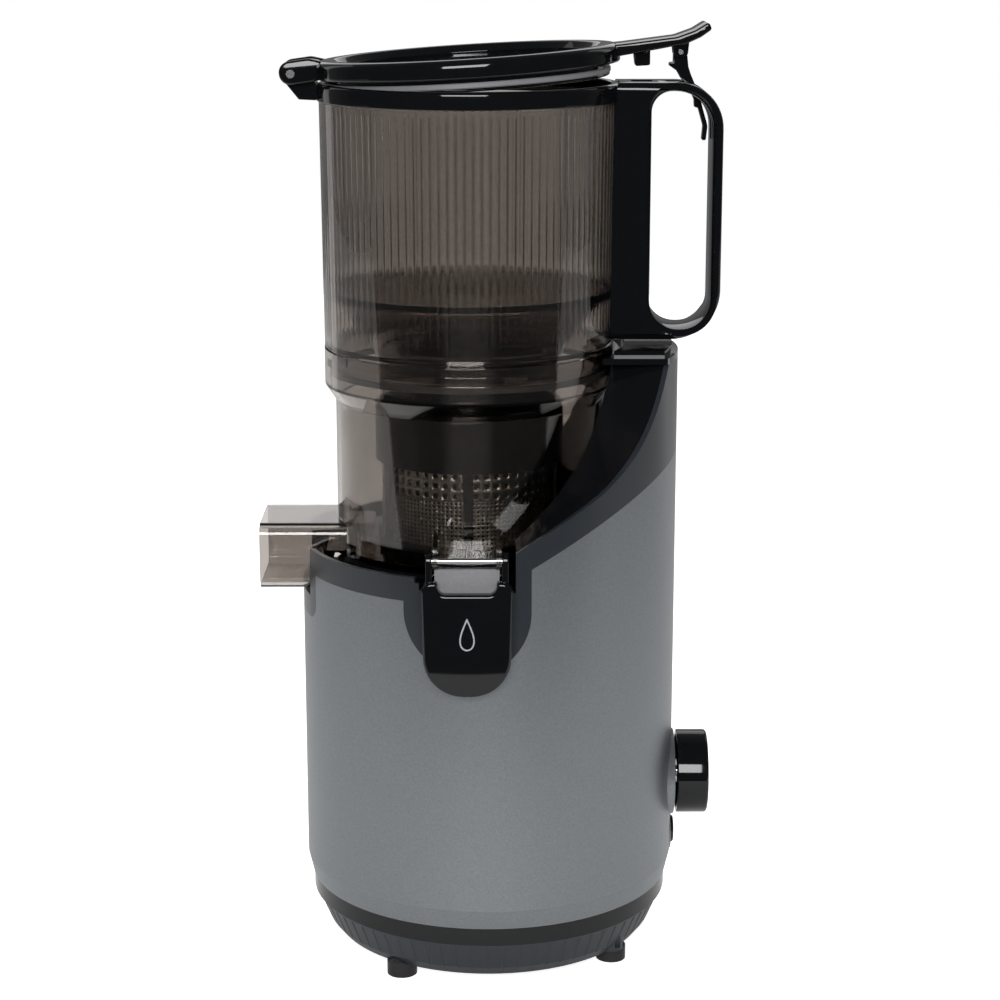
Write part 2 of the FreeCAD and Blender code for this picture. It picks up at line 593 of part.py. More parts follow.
def make_drive():
    """Motor, gears, gearbox, bearings and the drive shaft."""
    inner = "motor_radius - motor_wall"
    can = turned("can", [
        ("rotor_shaft_radius + bearing_wall", "motor_foot"), ("motor_radius", "motor_foot"),
        ("motor_radius", "motor_top"), ("rotor_shaft_radius + bearing_wall", "motor_top"),
        ("rotor_shaft_radius + bearing_wall", "motor_top - bearing_width"),
        ("rotor_shaft_radius + bearing_wall + 3", "motor_top - bearing_width"),
        ("rotor_shaft_radius + bearing_wall + 3", "motor_top - motor_wall"),
        (inner, "motor_top - motor_wall"), (inner, "motor_foot + motor_wall"),
        ("rotor_shaft_radius + bearing_wall + 3", "motor_foot + motor_wall"),
        ("rotor_shaft_radius + bearing_wall + 3", "motor_foot + bearing_width"),
        ("rotor_shaft_radius + bearing_wall", "motor_foot + bearing_width")], ("motor_x", 0, 0))
    slots = []
    for k in range(8):
        slot = Part.makeBox(30, 8, 12, V(20, -4, 0))
        slot.rotate(V(0, 0, 0), V(0, 0, 1), 45 * k + 22.5)
        slots.append(slot)
    can_slots = shaped("can_slots", Part.makeCompound(slots), ("motor_x", 0, "motor_top - 22"))
    node("motor_can", cut("can_cut", can, can_slots))
    stator_z = "motor_foot + 12"
    node("stator_core", turned("stator", [
        (f"{inner} - stator_wall", stator_z), (inner, stator_z),
        (inner, f"{stator_z} + stator_height"), (f"{inner} - stator_wall", f"{stator_z} + stator_height")],
        ("motor_x", 0, 0)))
    bearings = []
    for k, z in enumerate(["motor_foot", "motor_top - bearing_width"]):
        bearings.append(turned(f"motor_bearing_{k}", [
            ("rotor_shaft_radius + running_gap", z), ("rotor_shaft_radius + bearing_wall", z),
            ("rotor_shaft_radius + bearing_wall", f"{z} + bearing_width"),
            ("rotor_shaft_radius + running_gap", f"{z} + bearing_width")], ("motor_x", 0, 0)))
    node("motor_bearings", group("motor_bearing_pair", bearings))
    node("motor_rotor", turned("rotor", [
        (0, "motor_foot - 2"), ("rotor_shaft_radius", "motor_foot - 2"),
        ("rotor_shaft_radius", stator_z), ("rotor_radius", stator_z),
        ("rotor_radius", f"{stator_z} + stator_height"),
        ("rotor_shaft_radius", f"{stator_z} + stator_height"),
        ("rotor_shaft_radius", "gear_z + wheel_width"), (0, "gear_z + wheel_width")], ("motor_x", 0, 0)))
    fan_z = val("motor_foot") + 12 + val("stator_height") + 3
    hub = Part.makeCylinder(9, val("fan_height"))
    disc = Part.makeCylinder(val("motor_radius") - val("motor_wall") - 4, 1.5)
    blades = []
    for k in range(int(val("fan_blades"))):
        blade = Part.makeBox(val("motor_radius") - val("motor_wall") - 13, 1.6, val("fan_height"),
                             V(8.5, -0.8, 0))
        blade.rotate(V(0, 0, 0), V(0, 0, 1), 360 * k / val("fan_blades"))
        blades.append(blade)
    fan = disc.fuse([hub] + blades).cut(Part.makeCylinder(val("rotor_shaft_radius"), 40, V(0, 0, -10)))
    node("motor_fan", shaped("fan", fan), ("motor_x", 0, "motor_foot + 12 + stator_height + 3"))

    out_phase = 0.0
    pinion_phase = math.pi
    wheel_half_pitch = math.pi / val("wheel_teeth")
    small = val("pinion_teeth")
    node("motor_pinion", shaped("pinion", gear_shape(
        val("pinion_module"), int(small), val("wheel_width") - 0.5, val("rotor_shaft_radius"), 0.0)),
        ("motor_x", 0, "gear_z"))
    wheel = gear_shape(val("pinion_module"), int(val("wheel_teeth")), val("wheel_width"),
                       val("gear_pin_radius") + val("running_gap"), math.pi + wheel_half_pitch)
    upper = gear_shape(val("output_module"), int(small), val("output_width") + val("gear_gap") + 1,
                       val("gear_pin_radius") + val("running_gap"), pinion_phase)
    upper.translate(V(0, 0, val("wheel_width")))
    node("compound_gear", shaped("compound", wheel.fuse(upper)), ("wheel_x", 0, "gear_z"))
    output = gear_shape(val("output_module"), int(val("wheel_teeth")), val("output_width"),
                        val("shaft_radius"), out_phase + wheel_half_pitch)
    node("output_gear", shaped("output", output), ("bowl_x", 0, "output_z"))
    node("gear_pin", cylinder("gear_pin_bar", "gear_pin_radius", "case_top - case_floor",
                              ("wheel_x", 0, "case_floor")))

    corner = val("hex_flats") / math.sqrt(3)
    flats = [V(corner * math.cos(math.radians(60 * k)), corner * math.sin(math.radians(60 * k)), 0)
             for k in range(7)]
    hexagon = Part.Face(Part.makePolygon(flats)).extrude(V(0, 0, val("hex_height")))
    bar_height = val("deck_z") - 5 - val("output_z") + 0.5
    bar = Part.makeCylinder(val("shaft_radius"), bar_height)
    hexagon.translate(V(0, 0, bar_height))
    node("drive_shaft", shaped("drive_bar", bar.fuse(hexagon)), ("bowl_x", 0, "output_z - 0.5"))

    def case_outline(name, grow, z0, z1):
        return [cylinder(name + "_left", f"output_tip + {grow}", f"({z1}) - ({z0})", ("bowl_x", 0, z0)),
                cylinder(name + "_right", f"wheel_tip + {grow}", f"({z1}) - ({z0})", ("wheel_x", 0, z0)),
                box(name + "_middle", ("bowl_x", "wheel_x"),
                    (f"0 - wheel_tip - {grow}", f"wheel_tip + {grow}"), (z0, z1))]

    grow = "(case_gap + case_wall)"
    plate = slab("case_plate", "XY_Plane", [
        ("bowl_x - case_plate_left", "0 - case_plate_half_width"),
        ("bowl_x + case_plate_right", "0 - case_plate_half_width"),
        ("bowl_x + case_plate_right", "case_plate_half_width"),
        ("bowl_x - case_plate_left", "case_plate_half_width")], "case_wall", (0, 0, "case_floor"), False)
    rounded(plate, (8, near(run="z")))
    screws = []
    holes = []
    mounts = []
    spots = [("0 - post_left", 1), ("0 - post_left", -1), ("post_right", 1), ("post_right", -1)]
    for k, (x, side) in enumerate(spots):
        y = f"{side} * post_half_width"
        holes.append(cylinder(f"case_hole_{k}", "screw_radius + 0.2", 20, (x, y, "case_floor - 5")))
        mounts.append(cut(f"mount_{k}",
                          cylinder(f"mount_round_{k}", "post_radius + 1.5", "mount_height", (x, y, "post_top")),
                          cylinder(f"mount_bore_{k}", "screw_radius + 0.2", 40, (x, y, "post_top - 5"))))
        head = cylinder(f"case_screw_head_{k}", "screw_head_radius + 1", "screw_head",
                        (x, y, "case_floor + case_wall"))
        shank = cylinder(f"case_screw_shank_{k}", "screw_radius", "screw_length",
                         (x, y, "case_floor + case_wall - screw_length"))
        screws.append(fuse(f"case_screw_{k}", head, shank))
    node("motor_mounts", group("mount_set", mounts))
    node("gearbox_screws", group("case_screw_set", screws))
    lower = fuse("case_lower", plate, *case_outline("case_low", grow, "case_floor", "case_split"))
    lower_hollow = fuse("case_lower_hollow",
                        *case_outline("low_hollow", "case_gap", "case_floor + case_wall", "case_split + 1"))
    pin_seat = cylinder("pin_seat", "gear_pin_radius + 3", "4.5", ("wheel_x", 0, "case_floor + case_wall"))
    lower_open = fuse("case_lower_seat", cut("case_lower_open", lower, lower_hollow), pin_seat)
    node("gearbox_lower", cut(
        "gearbox_lower_cut", lower_open,
        cylinder("rotor_hole", "rotor_shaft_radius + 4", 30, ("motor_x", 0, "case_floor - 10")),
        cylinder("pin_hole_low", "gear_pin_radius", 30, ("wheel_x", 0, "case_floor - 10")), *holes))
    upper_case = fuse("case_upper", *case_outline("case_up", grow, "case_split", "case_top"),
                      cylinder("case_tower", "shaft_radius + bearing_wall + 4", "tower_height + case_wall",
                               ("bowl_x", 0, "case_top - case_wall")))
    upper_hollow = fuse("case_upper_hollow",
                        *case_outline("up_hollow", "case_gap", "case_split - 1", "case_top - case_wall"))
    node("gearbox_upper", cut(
        "gearbox_upper_cut", upper_case, upper_hollow,
        cylinder("tower_bore", "shaft_radius + bearing_wall", 60, ("bowl_x", 0, "case_top - case_wall - 1")),
        cylinder("pin_hole_high", "gear_pin_radius", 30, ("wheel_x", 0, "case_top - 10"))))
    outs = []
    for k, z in enumerate(["case_top - case_wall + 1", "case_top + tower_height - bearing_width"]):
        outs.append(turned(f"output_bearing_{k}", [
            ("shaft_radius + running_gap", z), ("shaft_radius + bearing_wall", z),
            ("shaft_radius + bearing_wall", f"{z} + bearing_width"),
            ("shaft_radius + running_gap", f"{z} + bearing_width")], ("bowl_x", 0, 0)))
    node("output_bearings", group("output_bearing_pair", outs))
    node("shaft_seal", turned("shaft_seal_body", [
        ("shaft_radius + 2.6", "deck_z - deck_wall"), ("shaft_radius + 8", "deck_z - deck_wall"),
        ("shaft_radius + 8", "deck_z + 1"), ("shaft_radius + 6", "deck_z + 2"),
        ("shaft_radius + 2.6", "deck_z + 2")], ("bowl_x", 0, 0)))


def make_controls():
    """Knob, start button, their switches, the board, the neck sensor and the cord gland."""
    node("control_knob", turned("knob_body", [
        ("spindle_radius", 0.3), ("spindle_radius + 3", 0.3), ("spindle_radius + 3", "knob_depth - 4"),
        ("knob_radius - knob_wall", "knob_depth - 4"), ("knob_radius - knob_wall", 0),
        ("knob_radius", 0), ("knob_radius", "knob_depth - 1.2"), ("knob_radius - 1.2", "knob_depth"),
        (0, "knob_depth"), (0, "knob_depth - 4"), ("spindle_radius", "knob_depth - 4")],
        ("knob_start", 0, "knob_z"), ALONG["x"]))
    node("switch_spindle", cylinder("spindle_bar", "spindle_radius", "knob_start + knob_depth - 4 - 76",
                                    (76, 0, "knob_z"), "x"))
    body = box("switch_block", (68, 86), (-12, 12), ("knob_z - 12", "knob_z + 12"))
    bush = cylinder("switch_bush", "spindle_radius + 2.4", 12, (84, 0, "knob_z"), "x")
    node("rotary_switch", cut("switch_cut", fuse("switch_whole", body, bush),
                              cylinder("switch_bore", "spindle_radius + running_gap", 40, (74, 0, "knob_z"), "x")))
    node("start_button", turned("button_body", [
        (0, 0), ("button_radius", 0), ("button_radius", "button_length - 0.8"),
        ("button_radius - 0.8", "button_length"), (0, "button_length")],
        ("button_reach - button_length", 0, "button_z"), ALONG["x"]))
    spring_room = val("button_reach") - val("button_length") - 78
    node("button_spring", shaped("button_coil", spring_shape(3.4, 2.0, spring_room - 3, 0.35),
                                 None, ALONG["x"]), ("76.5", 0, "button_z"))
    node("button_switch", box("button_switch_block", (66, 75.8), (-7, 7), ("button_z - 8", "button_z + 8")))
    board = box("board", ("0 - 62.8", "0 - 61.2"), (-33, 33), ("foot_height + pan_wall + 0.2", 112))
    relay = box("relay", ("0 - 61.2", "0 - 50"), (8, 26), (70, 88))
    choke = box("choke", ("0 - 61.2", "0 - 48"), (-24, -8), (60, 84))
    capacitor = cylinder("capacitor", 7, 20, ("0 - 53", 0, 90))
    node("control_board", fuse("board_whole", board, relay, choke, capacitor,
                               box("capacitor_pad", ("0 - 61.3", "0 - 53"), (-5, 5), (90, 110))))
    node("reed_sensor", box("reed_block", ("rod_x - 4", "rod_x + 8"), (-9, 9), ("neck_z - 9", "neck_z - 3.2")))
    gland = fuse("gland_whole",
                 cylinder("gland_stem", "gland_radius - 1", 14, (0, "body_radius - 6", "gland_z"), "y"),
                 cone("gland_sleeve", "gland_radius", "gland_radius - 2", "gland_reach",
                      (0, "body_radius", "gland_z"), "y"),
                 cylinder("gland_nut", "gland_radius + 2", 4, (0, "body_radius - 7", "gland_z"), "y"))
    node("cord_gland", cut("gland_cut", gland,
                           cylinder("gland_hollow", "gland_bore", 60, (0, "body_radius - 20", "gland_z"), "y")))


def make_bowl():
    """The clear bowl with its chute and spout, and what sits in it."""
    at = ("bowl_x", 0, 0)
    outer = turned("bowl_outer", [
        (0, "bowl_z"), ("bowl_radius", "bowl_z"), ("bowl_radius", "collar_foot - collar_flare"),
        ("collar_radius", "collar_foot"), ("collar_radius", "collar_z"), (0, "collar_z")], at)
    inner = turned("bowl_inner", [
        (0, "floor_z"), ("bowl_radius - bowl_wall", "floor_z"),
        ("bowl_radius - bowl_wall", "collar_foot - collar_flare + 1"),
        ("collar_radius - bowl_wall", "collar_foot + 1"),
        ("collar_radius - bowl_wall", "collar_z + 1"), (0, "collar_z + 1")], at)
    y0, y1 = "chute_y", "chute_y + chute_width"
    z0, z1 = "chute_z", "chute_z + chute_height"

    def tube(name, inset, x0, x1, corner):
        body = slab(name, "YZ_Plane", [
            (f"{y0} + {inset}", f"{z0} + {inset}"), (f"{y1} - {inset}", f"{z0} + {inset}"),
            (f"{y1} - {inset}", f"{z1} - {inset}"), (f"{y0} + {inset}", f"{z1} - {inset}")],
            f"({x1}) - ({x0})", (x0, 0, 0), False)
        return rounded(body, (corner, near(run="x")))

    chute_raw = tube("chute_outer", "0", "0 - chute_reach", "bowl_x - bowl_radius + 6", "chute_corner")
    chute_back = "tray_edge - 0.8"
    under = box("chute_under", (chute_back, 0), ("0 - chute_width", "chute_width"), ("bowl_z - 60", "bowl_z"))
    chute = cut("chute_trimmed", chute_raw, under)
    chute_hollow = cut(
        "chute_hollow", tube("chute_inner", "chute_wall", "0 - chute_reach - 1", "bowl_x - bowl_radius + 6",
                             "chute_corner - chute_wall"),
        box("chute_end", (f"{chute_back} - chute_wall", 0), ("0 - chute_width", "chute_width"),
            ("chute_z - 1", "floor_z")))
    front = "0 - spout_reach"
    spout = box("spout_outer", ("bowl_x - spout_half_width", "bowl_x + spout_half_width"),
                (front, "4 - bowl_radius"), ("spout_z", "spout_roof"))
    spout_hollow = box("spout_inner",
                       ("bowl_x - spout_half_width + spout_wall", "bowl_x + spout_half_width - spout_wall"),
                       ("0 - spout_reach - 1", "6 - bowl_radius"), ("floor_z", "spout_roof - spout_wall"))
    ears = []
    for k, (x0, x1) in enumerate([("bowl_x - spout_half_width", "bowl_x - spout_half_width + spout_wall"),
                                  ("bowl_x + spout_half_width - spout_wall", "bowl_x + spout_half_width")]):
        ears.append(box(f"ear_block_{k}", (x0, x1), (front, "2 - bowl_radius"),
                        ("spout_roof - 1", "spout_roof + ear_height - 1")))
        ears.append(cylinder(f"ear_round_{k}", "cap_ear_radius", "spout_wall",
                             (x0, "cap_pin_y", "cap_pin_z"), "x"))
        ears.append(box(f"ear_neck_{k}", (x0, x1), ("cap_pin_y", "2 - spout_reach"),
                        ("cap_pin_z - 3", "cap_pin_z + cap_ear_radius")))
    tube_in = cylinder("hub_tube", "tube_radius + tube_wall", "tube_height", ("bowl_x", 0, "bowl_z"))
    channel = box("pulp_channel", ("bowl_x - bowl_radius + 1", "bowl_x - strainer_radius - 4"), (-15, 5),
                  ("floor_z - 1", "floor_z + 12"))
    passage = box("pulp_passage", ("bowl_x - bowl_radius - 4", "bowl_x - strainer_radius - 3"), (-13, 3),
                  ("floor_z", "floor_z + 10"))
    cup = cut("bowl_cup", fuse("bowl_solid", outer, chute, spout, *ears), inner)
    entries = []
    for k in range(3):
        block = Part.makeBox(30, 2 * val("lug_half_width") + 2, 40, V(50, -val("lug_half_width") - 1, 0))
        block.rotate(V(0, 0, 0), V(0, 0, 1), 120 * k + 60 + 28)
        entries.append(block)
    track = turned("lug_track", [
        ("collar_radius - bowl_wall - 1", "collar_z - skirt_depth + 1.6"),
        ("collar_radius - 1", "collar_z - skirt_depth + 1.6"),
        ("collar_radius - 1", "collar_z - skirt_depth + 2.4 + lug_height"),
        ("collar_radius - bowl_wall - 1", "collar_z - skirt_depth + 2.4 + lug_height")], at)
    entry_ring = turned("entry_ring", [
        ("collar_radius - bowl_wall - 1", "collar_z - skirt_depth + 1.6"),
        ("collar_radius - 1", "collar_z - skirt_depth + 1.6"),
        ("collar_radius - 1", "collar_z + 1"), ("collar_radius - bowl_wall - 1", "collar_z + 1")], at)
    entry = common("lug_entries", entry_ring,
                   shaped("entry_blocks", Part.makeCompound(entries), ("bowl_x", 0, "collar_z - 25")))
    filled = fuse("bowl_filled", cup, tube_in, channel)
    drain = box("drain_hole", ("bowl_x - strainer_radius - 3", "bowl_x - strainer_radius + 8"), (-8, 8),
                ("bowl_z - 1", "floor_z + 0.01"))
    bowl = filled
    for k, tool in enumerate([
            spout_hollow, chute_hollow, passage, track, entry, drain,
            cylinder("hub_bore", "tube_radius", 40, ("bowl_x", 0, "bowl_z - 5")),
            cylinder("ear_bore", "cap_pin_radius", "4 * spout_half_width",
                     ("bowl_x - 2 * spout_half_width", "cap_pin_y", "cap_pin_z"), "x")]):
        bowl = cut(f"bowl_step_{k}", bowl, tool)
    node("juice_bowl", bowl)
    node("pulp_plug", fuse(
        "plug_whole", box("plug_block", ("bowl_x - strainer_radius - 2.8", "bowl_x - strainer_radius + 7.8"),
                          (-7.8, 7.8), ("bowl_z - 1", "floor_z")),
        box("plug_flange", ("bowl_x - strainer_radius - 5", "bowl_x - strainer_radius + 10"),
            (-10, 10), ("bowl_z - 1.8", "bowl_z"))))
    node("bowl_ring", turned("bowl_ring_body", [
        ("bowl_radius - 9", "bowl_z - bowl_lift + 0.4"), ("bowl_radius + 0.6", "bowl_z - bowl_lift + 0.4"),
        ("bowl_radius + 0.6", "bowl_z"), ("bowl_radius - 9", "bowl_z")], at))
    hub_top = "bowl_z + tube_height"
    node("bowl_seal", turned("bowl_seal_body", [
        ("tube_radius - 1.2", hub_top), ("tube_radius + tube_wall", hub_top),
        ("tube_radius + tube_wall", f"{hub_top} + lip_seal_height - 1"),
        ("tube_radius + 2", f"{hub_top} + lip_seal_height"),
        ("tube_radius - 1.2", f"{hub_top} + lip_seal_height")], at))
    node("collar_gasket", turned("collar_gasket_body", [
        ("collar_radius - bowl_wall - 4.4", "collar_z - skirt_depth - 3"),
        ("collar_radius - bowl_wall - 0.2", "collar_z - skirt_depth - 3"),
        ("collar_radius - bowl_wall - 0.2", "collar_z - skirt_depth - 0.3"),
        ("collar_radius - bowl_wall - 4.4", "collar_z - skirt_depth - 0.3")], at))


def make_strainer():
    at = ("bowl_x", 0, 0)
    basket = turned("basket", [
        ("strainer_radius - strainer_wall", "strainer_z"), ("strainer_radius", "strainer_z"),
        ("strainer_radius", "frame_z"), ("strainer_radius - strainer_wall", "frame_z")], at)
    drills = []
    for row in range(int(val("hole_rows"))):
        z = val("strainer_height") - 5 - val("hole_pitch") * row
        for k in range(int(val("holes_around"))):
            angle = 360 * (k + 0.5 * (row % 2)) / val("holes_around")
            drill = Part.makeCylinder(val("hole_radius"), 6, V(val("strainer_radius") - 3, 0, z), V(1, 0, 0))
            drill.rotate(V(0, 0, 0), V(0, 0, 1), angle)
            drills.append(drill)
    holes = shaped("basket_holes", Part.makeCompound(drills), ("bowl_x", 0, "strainer_z"))
    node("strainer_basket", cut("basket_cut", basket, holes))
    top = turned("frame_top", [
        ("strainer_radius", "frame_z - 3"), ("strainer_radius + frame_wall", "frame_z - 3"),
        ("strainer_radius + frame_wall", "frame_z + frame_height - 4"),
        ("strainer_radius + frame_wall - 1.5", "frame_z + frame_height"),
        ("strainer_radius - 0.8", "frame_z + frame_height"), ("strainer_radius - 0.8", "frame_z"),
        ("strainer_radius", "frame_z")], at)
    foot = turned("frame_foot", [
        ("strainer_radius", "floor_z + 0.2"), ("strainer_radius + frame_wall", "floor_z + 0.2"),
        ("strainer_radius + frame_wall", "strainer_z + 3"), ("strainer_radius", "strainer_z + 3")], at)
    bars = []
    for k in range(6):
        bar = Part.makeBox(val("frame_wall"), 5, val("strainer_height") + 2,
                           V(val("strainer_radius"), -2.5, 0))
        bar.rotate(V(0, 0, 0), V(0, 0, 1), 60 * k + 30)
        bars.append(bar)
    ribs = common("frame_ribs", shaped("frame_bars", Part.makeCompound(bars), ("bowl_x", 0, "floor_z + 0.5")),
                  turned("rib_limit", [
                      ("strainer_radius + 0.1", "floor_z"), ("strainer_radius + frame_wall - 0.6", "floor_z"),
                      ("strainer_radius + frame_wall - 0.6", "frame_z + 2"),
                      ("strainer_radius + 0.1", "frame_z + 2")], at))
    gap = box("frame_window", ("bowl_x - strainer_radius - 8", "bowl_x - strainer_radius + 3"), (-15.4, 5.4),
              ("floor_z - 1", "floor_z + 12.4"))
    node("strainer_frame", cut("frame_cut", fuse("frame_whole", top, foot, ribs), gap))


def make_auger():
    height = val("auger_height")
    low = val("auger_z") - val("seat_z")
    root, tip, radius = val("auger_root"), val("auger_tip"), val("auger_radius")
    seat = val("tube_radius") + val("tube_wall") + 1
    corners = [V(0, 0, 0), V(seat, 0, 0), V(seat, 0, low), V(root, 0, low), V(root, 0, low + 8),
               V(root * 0.62, 0, low + height * 0.55), V(root * 0.5, 0, low + height * 0.8),
               V(tip, 0, low + height - 3), V(tip - 3, 0, low + height), V(0, 0, low + height), V(0, 0, 0)]
    core = Part.Face(Part.makePolygon(corners)).revolve(V(0, 0, 0), V(0, 0, 1), 360)
    thick = val("flight_thickness")
    flights = []
    for turn in (0, 180):
        helix = Part.makeHelix(val("flight_pitch"), val("flight_height"), radius)
        section = Part.makePolygon([V(10, 0, 0), V(radius, 0, 0), V(radius, 0, thick), V(10, 0, thick * 1.4),
                                    V(10, 0, 0)])
        flight = Part.Wire(helix.Edges).makePipeShell([section], True, True)
        flight.translate(V(0, 0, low + 6))
        flight.rotate(V(0, 0, 0), V(0, 0, 1), turn)
        flights.append(flight)
    envelope = Part.makeCylinder(radius, height, V(0, 0, low))
    wing = Part.makeBox(2 * radius - 10, 5, 16, V(5 - radius, -2.5, low + height - 26))
    auger = core.fuse([flight.common(envelope) for flight in flights] + [wing])
    room = Part.makeCylinder(seat, -low, V(0, 0, low))
    auger = auger.cut(room.fuse(Part.makeCylinder(11.5, 20)))
    node("auger", shaped("auger_shape", auger.removeSplitter()), ("bowl_x", 0, "seat_z"))
    corner = (val("hex_flats") / 2 + val("hex_gap")) * 2 / math.sqrt(3)
    flats = [V(corner * math.cos(math.radians(60 * k)), corner * math.sin(math.radians(60 * k)), -1)
             for k in range(7)]
    socket = Part.Face(Part.makePolygon(flats)).extrude(V(0, 0, 19))
    node("auger_socket", shaped("socket_shape", Part.makeCylinder(11.5, 20).cut(socket)),
         ("bowl_x", 0, "seat_z"))


def make_cap():
    """The flap that shuts the juice spout, with its stopper and pin."""
    half = "cap_half_width"
    face = slab("cap_face", "XZ_Plane", [
        (f"1 - {half}", "cap_foot"), (f"{half} - 1", "cap_foot"), (half, "cap_top"),
        (f"0 - {half}", "cap_top")], "cap_thickness",
        ("bowl_x", "cap_pin_y - cap_thickness / 2 - 0.3", 0))
    foot, top = val("cap_foot"), val("cap_top")
    rounded(face, (19.5, near(z=foot, run="y")), (6, near(z=top, run="y")))
    notch = slab("cap_notch_block", "XZ_Plane", [
        ("0 - cap_notch_half_width", "cap_top - cap_notch"), ("cap_notch_half_width", "cap_top - cap_notch"),
        ("cap_notch_half_width", "cap_top + 10"), ("0 - cap_notch_half_width", "cap_top + 10")], 60,
        ("bowl_x", "cap_pin_y", 0))
    rounded(notch, (4, near(z=val("cap_top") - val("cap_notch"), run="y")))
    arms = []
    gap = "0.3"
    for k, x in enumerate([f"bowl_x - spout_half_width - {gap} - cap_arm", f"bowl_x + spout_half_width + {gap}"]):
        arms.append(cylinder(f"cap_arm_{k}", "cap_ear_radius", "cap_arm", (x, "cap_pin_y", "cap_pin_z"), "x"))
        arms.append(box(f"cap_web_{k}", (x, f"{x} + cap_arm"), ("cap_pin_y - cap_ear_radius", "cap_pin_y + 1.5"),
                        ("cap_top - 10", "cap_pin_z")))
    whole = fuse("cap_whole", cut("cap_notched", face, notch), *arms)
    pin_hole = cylinder("cap_pin_hole", "cap_pin_radius", "4 * spout_half_width",
                        ("bowl_x - 2 * spout_half_width", "cap_pin_y", "cap_pin_z"), "x")
    node("spout_cap", cut("cap_cut", whole, pin_hole))
    flange = box("stopper_flange", ("bowl_x - spout_half_width + 1", "bowl_x + spout_half_width - 1"),
                 ("cap_pin_y - 0.3", "0.4 - spout_reach - 0.8"), ("spout_z + 0.3", "spout_roof - 2"))
    bung = box("stopper_bung", ("bowl_x - spout_half_width + spout_wall + 0.8",
                                "bowl_x + spout_half_width - spout_wall - 0.8"),
               ("0 - spout_reach - 0.5", "4 - spout_reach"), ("floor_z + 2.2", "spout_roof - spout_wall - 0.8"))
    node("cap_stopper", fuse("stopper_whole", flange, bung))
    node("cap_pin", cylinder("cap_pin_bar", "cap_pin_radius", "2 * (spout_half_width + 0.3 + cap_arm)",
                             ("bowl_x - spout_half_width - 0.3 - cap_arm", "cap_pin_y", "cap_pin_z"), "x"))


